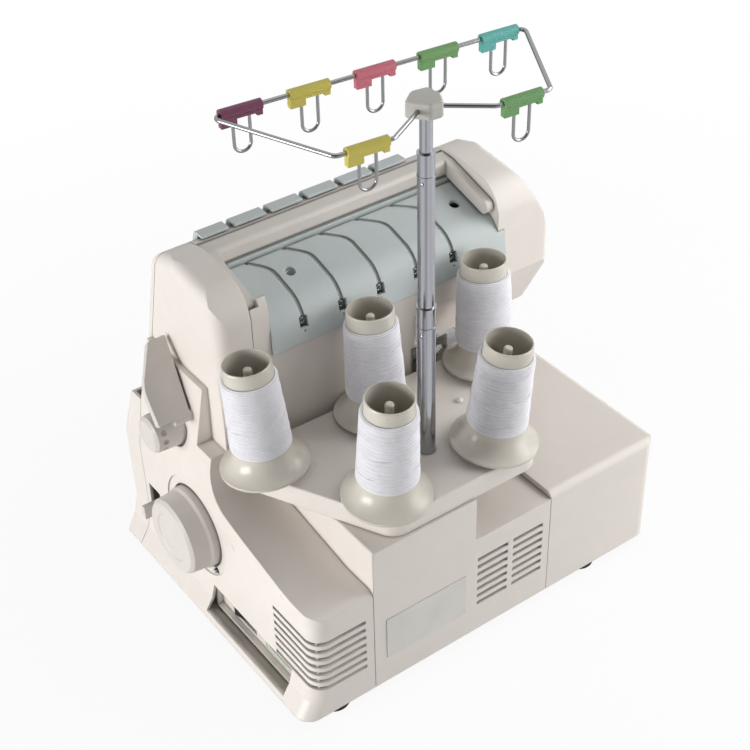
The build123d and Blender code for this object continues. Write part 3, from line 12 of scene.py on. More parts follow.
import bmesh
import bpy
import numpy as np
from mathutils import Matrix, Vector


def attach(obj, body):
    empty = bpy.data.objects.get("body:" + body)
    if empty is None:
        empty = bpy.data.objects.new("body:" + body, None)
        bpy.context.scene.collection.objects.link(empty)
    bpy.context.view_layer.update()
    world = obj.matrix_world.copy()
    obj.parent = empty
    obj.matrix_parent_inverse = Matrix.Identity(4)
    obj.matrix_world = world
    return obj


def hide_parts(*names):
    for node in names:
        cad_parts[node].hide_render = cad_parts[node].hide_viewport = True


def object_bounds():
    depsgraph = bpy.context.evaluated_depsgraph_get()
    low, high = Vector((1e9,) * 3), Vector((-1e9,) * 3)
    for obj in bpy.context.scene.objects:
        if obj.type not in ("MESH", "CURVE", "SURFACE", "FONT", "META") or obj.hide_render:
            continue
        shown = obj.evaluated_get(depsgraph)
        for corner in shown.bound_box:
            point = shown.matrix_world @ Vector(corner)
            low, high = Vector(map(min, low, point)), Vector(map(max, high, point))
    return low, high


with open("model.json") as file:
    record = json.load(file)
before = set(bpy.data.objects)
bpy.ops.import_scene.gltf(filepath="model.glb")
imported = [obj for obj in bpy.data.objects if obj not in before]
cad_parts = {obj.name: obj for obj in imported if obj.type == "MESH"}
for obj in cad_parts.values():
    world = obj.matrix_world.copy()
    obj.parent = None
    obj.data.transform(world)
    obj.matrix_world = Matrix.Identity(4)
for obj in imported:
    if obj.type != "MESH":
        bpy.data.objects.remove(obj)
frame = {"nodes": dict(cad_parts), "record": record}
cad_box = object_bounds()

MM = 0.001
TURN = 2 * math.pi
MERGE_REACH = 1e-7


# ---------------------------------------------------------------- numbers in space
def unit(vector):
    """Vector scaled to length one."""
    vector = np.asarray(vector, float)
    return vector / np.linalg.norm(vector)


def square_axes(axis):
    """Two unit vectors that are square to the axis and to each other."""
    axis = unit(axis)
    helper = np.array([0.0, 0.0, 1.0]) if abs(axis[2]) < 0.9 else np.array([1.0, 0.0, 0.0])
    side = unit(np.cross(helper, axis))
    return side, np.cross(axis, side)


def tint(red, green, blue):
    """Colour written in display steps of 0 to 255, turned into linear light."""
    steps = np.array([red, green, blue]) / 255.0
    linear = np.where(steps <= 0.04045, steps / 12.92, ((steps + 0.055) / 1.055) ** 2.4)
    return (*linear, 1.0)


# ---------------------------------------------------------------- surfaces
def grid_quads(rows, columns, wrap_rows=False, wrap_columns=False):
    """Quads between neighbours of a rows by columns grid, closed along either way."""
    i = np.arange(rows if wrap_rows else rows - 1)
    j = np.arange(columns if wrap_columns else columns - 1)
    i, j = (a.ravel() for a in np.meshgrid(i, j, indexing="ij"))
    next_i = (i + 1) % rows
    next_j = (j + 1) % columns
    return np.stack([
        i * columns + j, i * columns + next_j,
        next_i * columns + next_j, next_i * columns + j,
    ], 1)


def make_piece(name, parts, material, body, smooth=True):
    """Joins (points, quads) parts into one mesh of closed shells that rides on a body."""
    points = []
    quads = []
    count = 0
    for part_points, part_quads in parts:
        points.append(np.asarray(part_points, float).reshape(-1, 3))
        quads.append(np.asarray(part_quads) + count)
        count += len(points[-1])
    mesh = bpy.data.meshes.new(name)
    mesh.from_pydata(np.concatenate(points).tolist(), [], np.concatenate(quads).tolist())
    work = bmesh.new()
    work.from_mesh(mesh)
    bmesh.ops.remove_doubles(work, verts=work.verts, dist=MERGE_REACH)
    bmesh.ops.recalc_face_normals(work, faces=work.faces)
    work.to_mesh(mesh)
    work.free()
    mesh.polygons.foreach_set("use_smooth", np.full(len(mesh.polygons), smooth))
    mesh.materials.append(material)
    piece = bpy.data.objects.new(name, mesh)
    bpy.context.collection.objects.link(piece)
    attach(piece, body)


def lathe(profile, base, axis, segments):
    """Surface of revolution: radius and height pairs turned about an axis through base.

    point = base + height * axis + radius * (cos a * side + sin a * other).
    """
    profile = np.asarray(profile, float)
    axis = unit(axis)
    side, other = square_axes(axis)
    angle = np.linspace(0, TURN, segments, endpoint=False)
    radius = np.repeat(profile[:, :1], segments, 1)
    height = np.repeat(profile[:, 1:], segments, 1)
    ring = np.cos(angle)[:, None] * side + np.sin(angle)[:, None] * other
    points = np.asarray(base) + height[..., None] * axis + radius[..., None] * ring[None]
    return points, grid_quads(len(profile), segments, wrap_columns=True)


def tube(path, radius, segments):
    """Round tube with closed ends along an open path.

    point = path + radius * (cos a * side + sin a * other), where side and other are
    square to the path's direction and are carried along it without twist.
    """
    path = np.asarray(path, float)
    ahead = np.gradient(path, axis=0)
    ahead = ahead / np.linalg.norm(ahead, axis=1, keepdims=True)
    carried = square_axes(ahead[0])[0]
    sides = []
    for direction in ahead:
        carried = unit(carried - direction * np.dot(carried, direction))
        sides.append(carried)
    side = np.array(sides)
    other = np.cross(ahead, side)
    angle = np.linspace(0, TURN, segments, endpoint=False)
    ring = np.cos(angle)[None, :, None] * side[:, None] + np.sin(angle)[None, :, None] * other[:, None]
    points = path[:, None] + ring * radius
    start = np.repeat(path[:1], segments, 0)[None]
    end = np.repeat(path[-1:], segments, 0)[None]
    points = np.concatenate([start, points, end])
    return points, grid_quads(len(path) + 2, segments, wrap_columns=True)


def slab(low, high, edge):
    """Block with chamfered edges: four stacked rings of eight corners with closed ends."""
    low = np.asarray(low, float)
    high = np.asarray(high, float)

    def ring(inset, z):
        x0, y0 = low[:2] + inset
        x1, y1 = high[:2] - inset
        return [
            (x0 + edge, y0, z), (x1 - edge, y0, z), (x1, y0 + edge, z), (x1, y1 - edge, z),
            (x1 - edge, y1, z), (x0 + edge, y1, z), (x0, y1 - edge, z), (x0, y0 + edge, z),
        ]

    middle = (low + high) / 2
    rings = [
        [(middle[0], middle[1], low[2])] * 8,
        ring(edge, low[2]),
        ring(0.0, low[2] + edge),
        ring(0.0, high[2] - edge),
        ring(edge, high[2]),
        [(middle[0], middle[1], high[2])] * 8,
    ]
    return np.array(rings), grid_quads(len(rings), 8, wrap_columns=True)


# ---------------------------------------------------------------- shader tools
class Tree:
    """Short way to add and join the nodes of one material or group."""

    def __init__(self, tree):
        self.tree = tree
        self.tree.nodes.clear()

    def add(self, kind, links=None, **settings):
        """Node of a kind; links sets its inputs from values or other sockets."""
        node = self.tree.nodes.new(kind)
        for key, value in settings.items():
            setattr(node, key, value)
        for key, value in (links or {}).items():
            self.put(node.inputs[key], value)
        return node

    def put(self, socket, value):
        """Value or link into a socket."""
        if isinstance(value, bpy.types.NodeSocket):
            self.tree.links.new(value, socket)
        else:
            socket.default_value = value

    def maths(self, operation, a, b=0.0, c=0.0, clamp=False):
        """One step of arithmetic."""
        node = self.add("ShaderNodeMath", {0: a, 1: b, 2: c}, operation=operation, use_clamp=clamp)
        return node.outputs[0]

    def noise(self, place, scale, detail=3.0, roughness=0.5):
        """Soft noise from 0 to 1."""
        links = {"Vector": place, "Scale": scale, "Detail": detail, "Roughness": roughness}
        return self.add("ShaderNodeTexNoise", links).outputs["Fac"]

    def spread(self, value, low, high, new_low=0.0, new_high=1.0):
        """Value mapped from one span to another and held inside it."""
        links = {"Value": value, "From Min": low, "From Max": high, "To Min": new_low, "To Max": new_high}
        return self.add("ShaderNodeMapRange", links).outputs[0]

    def blend(self, mask, a, b, mode="MIX"):
        """Colour a turning into colour b by a mask."""
        node = self.add("ShaderNodeMix", data_type="RGBA", blend_type=mode)
        self.put(node.inputs[0], mask)
        self.put(node.inputs[6], a)
        self.put(node.inputs[7], b)
        return node.outputs[2]

    def group(self, group, links):
        """Shared effect placed in this tree."""
        node = self.tree.nodes.new("ShaderNodeGroup")
        node.node_tree = group
        for key, value in links.items():
            self.put(node.inputs[key], value)
        return node

    def place(self):
        """Object coordinates."""
        return self.add("ShaderNodeTexCoord").outputs["Object"]


def new_group(name, inputs, outputs):
    """Empty node group with named sockets; returns (group, tool, input node)."""
    group = bpy.data.node_groups.new(name, "ShaderNodeTree")
    for label, kind, value in inputs:
        socket = group.interface.new_socket(label, in_out="INPUT", socket_type=kind)
        if value is not None:
            socket.default_value = value
    for label, kind in outputs:
        group.interface.new_socket(label, in_out="OUTPUT", socket_type=kind)
    tool = Tree(group)
    return group, tool, tool.add("NodeGroupInput")


def moulded_skin():
    """Fine pebbled bump and slow tone drift of moulded plastic, with softened edges."""
    group, tool, source = new_group(
        "moulded_skin",
        [
            ("Edge", "NodeSocketFloat", 0.0008),
            ("Grain scale", "NodeSocketFloat", 2600.0),
            ("Grain depth", "NodeSocketFloat", 0.08),
        ],
        [("Tone", "NodeSocketFloat"), ("Crease", "NodeSocketFloat"), ("Normal", "NodeSocketVector")],
    )
    place = tool.place()
    # Ambient occlusion gives the Crease mask, used for painted shade in creases and grooves.
    nook = tool.add("ShaderNodeAmbientOcclusion", {"Distance": 0.004}, samples=6)
    grain = tool.noise(place, source.outputs["Grain scale"], 2.0, 0.6)
    drift = tool.noise(place, 9.0, 3.0, 0.55)
    swirl = tool.noise(place, 60.0, 2.0, 0.5)
    tone = tool.maths("MULTIPLY_ADD", swirl, 0.35, tool.maths("MULTIPLY", drift, 0.65))
    edge = tool.add("ShaderNodeBevel", {"Radius": source.outputs["Edge"]}, samples=4)
    bump = tool.add("ShaderNodeBump", {
        "Strength": source.outputs["Grain depth"], "Distance": 0.0004,
        "Height": grain, "Normal": edge.outputs[0],
    })
    tool.add("NodeGroupOutput", {
        "Tone": tool.spread(tone, 0.3, 0.7),
        "Crease": tool.spread(nook.outputs["AO"], 0.35, 0.85, 1.0, 0.0),
        "Normal": bump.outputs[0],
    })
    return group


def dust_specks():
    """Sparse tiny marks: the heart of a few cells of a cell pattern."""
    group, tool, source = new_group(
        "dust_specks",
        [
            ("Scale", "NodeSocketFloat", 90.0),
            ("Size", "NodeSocketFloat", 0.05),
            ("Share", "NodeSocketFloat", 0.12),
        ],
        [("Mask", "NodeSocketFloat")],
    )
    cells = tool.add("ShaderNodeTexVoronoi", {"Vector": tool.place(), "Scale": source.outputs["Scale"]})
    pick = tool.add("ShaderNodeSeparateColor", {0: cells.outputs["Color"]})
    near = tool.maths("LESS_THAN", cells.outputs["Distance"], source.outputs["Size"])
    chosen = tool.maths("LESS_THAN", pick.outputs[0], source.outputs["Share"])
    tool.add("NodeGroupOutput", {"Mask": tool.maths("MULTIPLY", near, chosen)})
    return group


def rubbed_edges():
    """Mask that is high where the rounded normal leaves the flat one, as on rubbed edges."""
    group, tool, source = new_group(
        "rubbed_edges",
        [("Width", "NodeSocketFloat", 0.001), ("Break up", "NodeSocketFloat", 220.0)],
        [("Mask", "NodeSocketFloat")],
    )
    edge = tool.add("ShaderNodeBevel", {"Radius": source.outputs["Width"]}, samples=4)
    plain = tool.add("ShaderNodeNewGeometry")
    normals = {0: edge.outputs[0], 1: plain.outputs["Normal"]}
    along = tool.add("ShaderNodeVectorMath", normals, operation="DOT_PRODUCT")
    turned_away = tool.maths("SUBTRACT", 1.0, along.outputs["Value"])
    patch = tool.noise(tool.place(), source.outputs["Break up"], 3.0, 0.6)
    mask = tool.maths("MULTIPLY", tool.spread(turned_away, 0.02, 0.25), tool.spread(patch, 0.35, 0.65))
    tool.add("NodeGroupOutput", {"Mask": mask})
    return group


def drawn_lines():
    """Long fine scratches along one axis of stretched noise, for drawn or ground metal."""
    group, tool, source = new_group(
        "drawn_lines",
        [("Stretch", "NodeSocketVector", (1.0, 1.0, 0.02)), ("Scale", "NodeSocketFloat", 900.0)],
        [("Mask", "NodeSocketFloat")],
    )
    stretched = {0: tool.place(), 1: source.outputs["Stretch"]}
    place = tool.add("ShaderNodeVectorMath", stretched, operation="MULTIPLY").outputs[0]
    tool.add("NodeGroupOutput", {"Mask": tool.noise(place, source.outputs["Scale"], 2.0, 0.6)})
    return group


SKIN = moulded_skin()
SPECKS = dust_specks()
RUBBED = rubbed_edges()
LINES = drawn_lines()


def new_material(name):
    """Material with an empty tree, its surface shader and the output joined."""
    material = bpy.data.materials.new(name)
    material.use_nodes = True
    tool = Tree(material.node_tree)
    shader = tool.add("ShaderNodeBsdfPrincipled")
    tool.add("ShaderNodeOutputMaterial", {"Surface": shader.outputs[0]})
    return material, tool, shader


# ---------------------------------------------------------------- finishes
PLASTIC_GRAIN = 0.07
PLASTIC_IOR = 1.46
SPECK_STRENGTH = 0.7
CREASE_SHADE_DARK = 0.35
METAL_DULL = 0.82
DUST = tint(150, 142, 132)
RUBBED_PALE = tint(240, 237, 232)


def darker(colour, share):
    """Colour with each channel taken down to a share."""
    return tuple(share * c for c in colour[:3]) + (1.0,)


def plastic(
    name, colour, shade, rough=(0.27, 0.38), edge=0.0008,
    dirt=None, speck_share=0.1, rub_share=0.2, crease_share=0.6,
):
    """Moulded plastic: tone drift, pebble bump, soft edges, painted shade in creases, a few dust marks."""
    material, tool, shader = new_material(name)
    skin = tool.group(SKIN, {"Edge": edge, "Grain depth": PLASTIC_GRAIN})
    tone = skin.outputs["Tone"]
    body = tool.blend(tone, colour, shade)
    specks = tool.group(SPECKS, {"Scale": 75.0, "Size": 0.035, "Share": speck_share})
    body = tool.blend(tool.maths("MULTIPLY", specks.outputs[0], SPECK_STRENGTH), body, dirt or DUST)
    rub = tool.group(RUBBED, {"Width": 1.5 * edge})
    body = tool.blend(tool.maths("MULTIPLY", rub.outputs[0], rub_share), body, RUBBED_PALE)
    # Painted shade: creases, grooves and recesses darkened by the ambient-occlusion mask.
    crease_shade_colour = darker(shade, CREASE_SHADE_DARK)
    body = tool.blend(tool.maths("MULTIPLY", skin.outputs["Crease"], crease_share), body, crease_shade_colour)
    tool.put(shader.inputs["Base Color"], body)
    tool.put(shader.inputs["Roughness"], tool.spread(tone, 0.0, 1.0, *rough))
    tool.put(shader.inputs["Normal"], skin.outputs["Normal"])
    shader.inputs["IOR"].default_value = PLASTIC_IOR
    return material


def chrome(name, colour, rough, stretch=(1.0, 1.0, 0.02)):
    """Polished or drawn metal with faint lines, finger haze and dull spots."""
    material, tool, shader = new_material(name)
    lines = tool.group(LINES, {"Stretch": stretch})
    haze = tool.noise(tool.place(), 70.0, 3.0, 0.6)
    wear = tool.maths("MULTIPLY_ADD", haze, 0.5, tool.maths("MULTIPLY", lines.outputs[0], 0.5))
    tool.put(shader.inputs["Base Color"], tool.blend(wear, colour, darker(colour, METAL_DULL)))
    tool.put(shader.inputs["Roughness"], tool.spread(wear, 0.3, 0.7, 0.6 * rough, 1.5 * rough))
    bump = tool.add("ShaderNodeBump", {"Strength": 0.05, "Distance": 0.0002, "Height": lines.outputs[0]})
    tool.put(shader.inputs["Normal"], bump.outputs[0])
    shader.inputs["Metallic"].default_value = 1.0
    return material


def thread_finish():
    """Spun thread: bluish white, dull sheen, fibre bump, painted shade in the grooves where two turns
    meet.
    """
    material, tool, shader = new_material("wound_thread")
    turn = tool.add("ShaderNodeAttribute", attribute_name="turn").outputs["Fac"]
    patch = tool.noise(tool.place(), 130.0, 4.0, 0.65)
    # Painted shade in the grooves between turns, plus a few random tone patches.
    turn_groove_shade = tool.spread(tool.maths("COSINE", tool.maths("MULTIPLY", turn, TURN)), -1.0, -0.1, 1.0, 0.0)
    shade = tool.maths("MULTIPLY_ADD", turn_groove_shade, 0.45, tool.spread(patch, 0.42, 0.62, 0.0, 0.08))
    tool.put(shader.inputs["Base Color"], tool.blend(shade, tint(232, 231, 235), tint(150, 149, 157)))
    fibre = tool.noise(tool.place(), 5200.0, 2.0, 0.7)
    bump = tool.add("ShaderNodeBump", {"Strength": 0.5, "Distance": 0.0003, "Height": fibre})
    tool.put(shader.inputs["Normal"], bump.outputs[0])
    tool.put(shader.inputs["Roughness"], tool.spread(patch, 0.3, 0.7, 0.5, 0.7))
    shader.inputs["Sheen Weight"].default_value = 0.25
    shader.inputs["Sheen Roughness"].default_value = 0.4
    return material


def rubber_finish(name, colour):
    """Dull rubber with fine dust."""
    material, tool, shader = new_material(name)
    dust = tool.noise(tool.place(), 420.0, 4.0, 0.7)
    mask = tool.spread(dust, 0.5, 0.75, 0.0, 0.4)
    tool.put(shader.inputs["Base Color"], tool.blend(mask, colour, tint(120, 116, 110)))
    tool.put(shader.inputs["Roughness"], tool.spread(dust, 0.3, 0.7, 0.65, 0.9))
    bump = tool.add("ShaderNodeBump", {"Strength": 0.3, "Distance": 0.0005, "Height": dust})
    tool.put(shader.inputs["Normal"], bump.outputs[0])
    return material


def plate_finish():
    """Silver foil plate with a fine rolled grain, left blank."""
    material, tool, shader = new_material("plate_foil")
    lines = tool.group(LINES, {"Stretch": (0.03, 1.0, 1.0), "Scale": 1400.0})
    haze = tool.noise(tool.place(), 40.0, 3.0, 0.6)
    tool.put(shader.inputs["Base Color"], tool.blend(haze, tint(214, 212, 206), tint(196, 194, 188)))
    tool.put(shader.inputs["Roughness"], tool.spread(lines.outputs[0], 0.3, 0.7, 0.34, 0.5))
    bump = tool.add("ShaderNodeBump", {"Strength": 0.08, "Distance": 0.0002, "Height": lines.outputs[0]})
    tool.put(shader.inputs["Normal"], bump.outputs[0])
    shader.inputs["Metallic"].default_value = 0.55
    return material


def cast_finish():
    """Rough cast machine frame, dull aluminium."""
    material, tool, shader = new_material("cast_frame")
    pits = tool.noise(tool.place(), 900.0, 4.0, 0.7)
    stain = tool.noise(tool.place(), 25.0, 3.0, 0.6)
    tool.put(shader.inputs["Base Color"], tool.blend(stain, tint(148, 149, 150), tint(118, 119, 121)))
    tool.put(shader.inputs["Roughness"], tool.spread(pits, 0.3, 0.7, 0.42, 0.62))
    bump = tool.add("ShaderNodeBump", {"Strength": 0.35, "Distance": 0.0004, "Height": pits})
    tool.put(shader.inputs["Normal"], bump.outputs[0])
    shader.inputs["Metallic"].default_value = 0.8
    return material


def clip_plastic(name, colour, shade):
    """Glossier coloured plastic with sharp edges, for the thread guide clips."""
    return plastic(name, colour, shade, rough=(0.32, 0.42), edge=0.0002, rub_share=0.0)


FINISHES = {
    "casing_white": plastic("casing_plastic", tint(226, 219, 212), tint(220, 213, 206), edge=0.0012),
    "handle_cream": plastic("handle_plastic", tint(212, 207, 200), tint(204, 198, 191), edge=0.0009),
    "teal_plastic": plastic(
        "grey_teal_plastic", tint(192, 199, 198), tint(184, 192, 191), rough=(0.38, 0.5),
        edge=0.0008, dirt=tint(205, 208, 206), speck_share=0.05,
    ),
    "dial_grey": plastic("dial_plastic", tint(150, 156, 158), tint(138, 144, 146), edge=0.0004),
    "cone_cream": plastic(
        "cone_plastic", tint(208, 203, 192), tint(200, 194, 183), rough=(0.18, 0.28), edge=0.0004,
    ),
    "pin_cream": plastic("pin_plastic", tint(222, 217, 207), tint(214, 208, 197), edge=0.0005),
    "control_white": plastic("control_plastic", tint(212, 206, 200), tint(205, 198, 192), edge=0.0010),
    "thread_white": thread_finish(),
    "tube_chrome": chrome("tube_chrome", tint(178, 180, 186), 0.12),
    "wire_chrome": chrome("wire_chrome", tint(160, 160, 162), 0.18, (1.0, 1.0, 1.0)),
    "bracket_steel": chrome("bracket_steel", tint(176, 177, 180), 0.26, (0.05, 1.0, 1.0)),
    "pan_steel": plastic("pan_paint", tint(206, 200, 193), tint(196, 190, 183), edge=0.0008),
    "tool_steel": chrome("tool_steel", tint(188, 189, 192), 0.2, (1.0, 0.05, 1.0)),
    "cap_grey": plastic("cap_plastic", tint(196, 193, 187), tint(187, 184, 177), edge=0.0004),
    "clip_plum": clip_plastic("clip_plum", tint(124, 66, 94), tint(112, 58, 84)),
    "clip_yellow": clip_plastic("clip_yellow", tint(206, 194, 92), tint(194, 182, 82)),
    "clip_pink": clip_plastic("clip_pink", tint(204, 112, 126), tint(192, 102, 116)),
    "clip_green": clip_plastic("clip_green", tint(112, 160, 98), tint(102, 148, 90)),
    "clip_teal": clip_plastic("clip_teal", tint(96, 180, 172), tint(88, 168, 160)),
    "rocker_black": plastic(
        "rocker_plastic", tint(34, 34, 36), tint(26, 26, 28), edge=0.0004, dirt=tint(90, 90, 90),
    ),
    "inlet_green": plastic("inlet_plastic", tint(196, 206, 188), tint(186, 196, 178), edge=0.0004),
    "foot_rubber": rubber_finish("foot_rubber", tint(40, 38, 38)),
    "motor_dark": rubber_finish("motor_paint", tint(44, 45, 48)),
    "plate_silver": plate_finish(),
    "frame_cast": cast_finish(),
}
slot_of = {row["node"]: row["material_slot"] for row in frame["record"]["subparts"]}
for node_name, node_object in frame["nodes"].items():
    node_object.data.materials.clear()
    node_object.data.materials.append(FINISHES[slot_of[node_name]])

# ---------------------------------------------------------------- wound thread
# Lengths in millimetres, heights measured along the pin from the tray. A seat is x and y,
# then the pin's lean to the side and forward in degrees.
TRAY_TOP = 163.5
SPOOL_SEATS = [
    (119.5, 26.0, 3.0, 4.0), (19.5, 26.0, 0.0, 4.0), (-84.0, 26.0, -1.0, 4.0),
    (69.7, 105.5, 0.0, -3.5), (-27.2, 105.5, -4.0, -3.5),
]
WOUND_LOW = 18.5
WOUND_HIGH = 78.0
WOUND_WIDE = 22.6
WOUND_NARROW = 20.2
TURN_PITCH = 1.15
RIDGE = 0.2
SUNK = 0.25
END_ROUND = 1.6
WOUND_ROWS = 380
WOUND_COLUMNS = 88
SWELLS = 5
LOOSE_DEPTH = 0.13
LOOSE_PITCH = 3.7
INNER_WALL = [[18.1, WOUND_HIGH - 0.3], [20.2, WOUND_LOW + 0.3]]
STRAND_LOW = 24.0
STRAND_HIGH = 72.0
STRAND_LIFT = 0.1
STRAND_RADIUS = 0.16
STRAND_STEPS = 260
STRAND_SIDES = 6
WOUND_SEED = 40
STRAND_SEED = 70


def spool_axis(side_lean, forward_lean):
    """Unit vector along a leaning spool pin, from its two leans in degrees."""
    side, forward = math.radians(side_lean), math.radians(forward_lean)
    return np.array([
        math.sin(side), -math.cos(side) * math.sin(forward), math.cos(side) * math.cos(forward),
    ])


def wound_surface(base, axis, seed):
    """Winding on a cone, with rounded ends and a plain inner wall, closed like a ring.

    r(h, a) = line(h) + 0.2 cos(2 pi t) + swells + loose - 0.25 and t = h / pitch +
    a / (2 pi) + drift, at height h and angle a: t counts the turns, so each has a ridge.
    line is the cone's straight line, the swells are five slow waves, loose is a second
    and steeper lay, and drift keeps the turns from being even.
    """
    rng = np.random.default_rng(seed)
    share = np.linspace(0, 1, WOUND_ROWS)
    height = WOUND_LOW + (WOUND_HIGH - WOUND_LOW) * share
    line = WOUND_WIDE + (WOUND_NARROW - WOUND_WIDE) * share
    ends = np.minimum(share, 1 - share) * (WOUND_HIGH - WOUND_LOW)
    line = line - END_ROUND * np.clip(1 - ends / END_ROUND, 0, 1) ** 2
    angle = np.linspace(0, TURN, WOUND_COLUMNS, endpoint=False)
    up, around = height[:, None], angle[None, :]
    drift = 0.14 * np.sin(1.7 * up + seed) + 0.12 * np.sin(0.61 * up + 2 * around)
    turn = up / TURN_PITCH + around / TURN + drift
    swell = np.zeros((WOUND_ROWS, WOUND_COLUMNS))
    for _ in range(SWELLS):
        waves = rng.integers(1, 5)
        steepness = rng.uniform(0.08, 0.55)
        depth = rng.uniform(0.02, 0.07)
        swell += depth * np.sin(waves * around + steepness * up + rng.uniform(0, TURN))
    loose = LOOSE_DEPTH * np.sin(TURN * (up / LOOSE_PITCH - 2 * around / TURN))
    radius = line[:, None] + RIDGE * np.cos(TURN * turn) + swell + loose - SUNK
    inner = np.array(INNER_WALL)
    radius = np.concatenate([radius, np.repeat(inner[:, :1], WOUND_COLUMNS, 1)])
    height = np.concatenate([height, inner[:, 1]])
    turn = np.concatenate([turn, np.zeros((len(inner), WOUND_COLUMNS))])
    side, other = square_axes(axis)
    ring = np.cos(angle)[:, None] * side + np.sin(angle)[:, None] * other
    points = base + height[:, None, None] * axis + radius[..., None] * ring[None]
    quads = grid_quads(WOUND_ROWS + len(inner), WOUND_COLUMNS, wrap_rows=True, wrap_columns=True)
    return points * MM, quads, turn.ravel()


def stray_strand(base, axis, seed):
    """One loose strand across the turns: a steep helix just above the winding's line."""
    rng = np.random.default_rng(seed)
    share = np.linspace(0, 1, STRAND_STEPS)
    height = STRAND_LOW + (STRAND_HIGH - STRAND_LOW) * share
    taper = (WOUND_NARROW - WOUND_WIDE) * (height - WOUND_LOW) / (WOUND_HIGH - WOUND_LOW)
    radius = WOUND_WIDE + taper + STRAND_LIFT
    angle = rng.uniform(0, TURN) + TURN * rng.uniform(2.2, 3.4) * share
    side, other = square_axes(axis)
    ring = np.cos(angle)[:, None] * side + np.sin(angle)[:, None] * other
    path = base + height[:, None] * axis + radius[:, None] * ring
    return tube(path * MM, STRAND_RADIUS * MM, STRAND_SIDES)


for number, (x, y, side_lean, forward_lean) in enumerate(SPOOL_SEATS, 1):
    axis = spool_axis(side_lean, forward_lean)
    seat = np.array([x, y, TRAY_TOP])
    points, quads, turn = wound_surface(seat, axis, WOUND_SEED + number)
    mesh = bpy.data.meshes.new("wound_thread_%d" % number)
    mesh.from_pydata(points.reshape(-1, 3).tolist(), [], quads[:, ::-1].tolist())
    mesh.attributes.new("turn", "FLOAT", "POINT").data.foreach_set("value", turn.astype(np.float32))
    mesh.polygons.foreach_set("use_smooth", np.ones(len(mesh.polygons), bool))
    mesh.materials.append(FINISHES["thread_white"])
    winding = bpy.data.objects.new("wound_thread_%d" % number, mesh)
    bpy.context.collection.objects.link(winding)
    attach(winding, "spool_%d" % number)
    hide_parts("thread_winding_%d" % number)
    make_piece(
        "thread_strand_%d" % number, [stray_strand(seat, axis, STRAND_SEED + number)],
        FINISHES["thread_white"], "spool_%d" % number,
    )

# ---------------------------------------------------------------- thread cover details
def block(low, high, edge):
    """Chamfered block between two corners, in millimetres."""
    return slab(np.array(low) * MM, np.array(high) * MM, edge * MM)


def turned(profile, spot, axis, segments):
    """Turned piece at a spot, in millimetres."""
    return lathe(np.array(profile) * MM, np.asarray(spot) * MM, axis, segments)


make_piece(
    "thread_cover_rim", [block([-127.6, -64.0, 264.0], [86.6, -60.4, 275.4], 0.4)],
    FINISHES["teal_plastic"], "housing", smooth=False,
)
NOTCH_FIRST_X = 59.5
NOTCH_PITCH = 34.2
NOTCH_HALF = 6.0
notch_backs = []
for number in range(5):
    x = NOTCH_FIRST_X - NOTCH_PITCH * number
    notch_backs.append(block([x - NOTCH_HALF, -11.2, 235.0], [x + NOTCH_HALF, -10.1, 251.0], 0.2))
# Darker copy of the cover's teal for the notch backs and the hole's cup: painted shade inside the cover.
shaded_inner_teal = plastic(
    "inner_teal_plastic", tint(186, 194, 193), tint(176, 185, 184), edge=0.0002, crease_share=0.15,
)
make_piece("notch_backs", notch_backs, shaded_inner_teal, "housing", smooth=False)

HOLE_SPOT = [49.0, -37.5, 255.5]
HOLE_CUP = [(0.0, 0.0), (5.4, 0.0), (5.4, 9.0), (4.6, 9.0), (4.6, 1.0), (0.0, 1.0)]
cup = turned(HOLE_CUP, HOLE_SPOT, (0.0, 0.15, 1.0), 40)
make_piece("cover_hole_cup", [cup], shaded_inner_teal, "housing")

# ---------------------------------------------------------------- telescopic mast details
MAST_X, MAST_Y = 16.0, 81.0
BUTTON_WAY = unit([0.87, 0.49, 0.0])
BUTTON_DOME = [(0.0, -0.6), (1.5, -0.6), (1.5, 0.15), (1.2, 0.45), (0.7, 0.65), (0.0, 0.7)]
BUTTONS = [
    ("detent_button_low", "housing", 265.0, 6.7),
    ("detent_button_high", "mast_middle", 383.0, 5.85),
]
for name, body, z, tube_radius in BUTTONS:
    spot = np.array([MAST_X, MAST_Y, z]) + BUTTON_WAY * tube_radius
    button = turned(BUTTON_DOME, spot, BUTTON_WAY, 28)
    make_piece(name, [button], FINISHES["tube_chrome"], body)

# ---------------------------------------------------------------- control bay and wheel side
BAY_BACK_X, BAY_FACE_X = 144.0, 147.2
BAY_FRAME = [
    ((-8.9, 11.6), (98.9, 13.4)), ((-8.9, 31.6), (98.9, 33.4)), ((-8.9, 13.4), (7.0, 31.6)),
    ((39.0, 13.4), (52.7, 31.6)), ((91.3, 13.4), (98.9, 31.6)),
]
bay_strips = [
    block([BAY_BACK_X, y0, z0], [BAY_FACE_X, y1, z1], 0.3) for (y0, z0), (y1, z1) in BAY_FRAME
]
make_piece("bay_frame", bay_strips, FINISHES["casing_white"], "housing", smooth=False)
PIN_SPOT = [151.7, -4.8, 51.7]
PIN_SHADE_DISC = [(0.0, 0.0), (2.9, 0.0), (2.9, 0.3), (2.5, 0.4), (2.2, 0.15), (0.0, 0.15)]
PIN_DOME = [(0.0, 0.1), (1.9, 0.1), (1.9, 1.6), (1.6, 2.3), (1.0, 2.8), (0.4, 3.0), (0.0, 3.02)]
OUTWARD = (1.0, 0.0, 0.0)
# Black disc around the pin: painted shade of the round hole the pin sits in.
make_piece(
    "wheel_pin_hole_shade", [turned(PIN_SHADE_DISC, PIN_SPOT, OUTWARD, 36)],
    FINISHES["rocker_black"], "housing",
)
make_piece(
    "wheel_pin", [turned(PIN_DOME, PIN_SPOT, OUTWARD, 28)],
    FINISHES["tube_chrome"], "housing",
)

# ---------------------------------------------------------------- lamps and surround
low, high = (np.array(corner) for corner in cad_box)
middle = (low + high) / 2
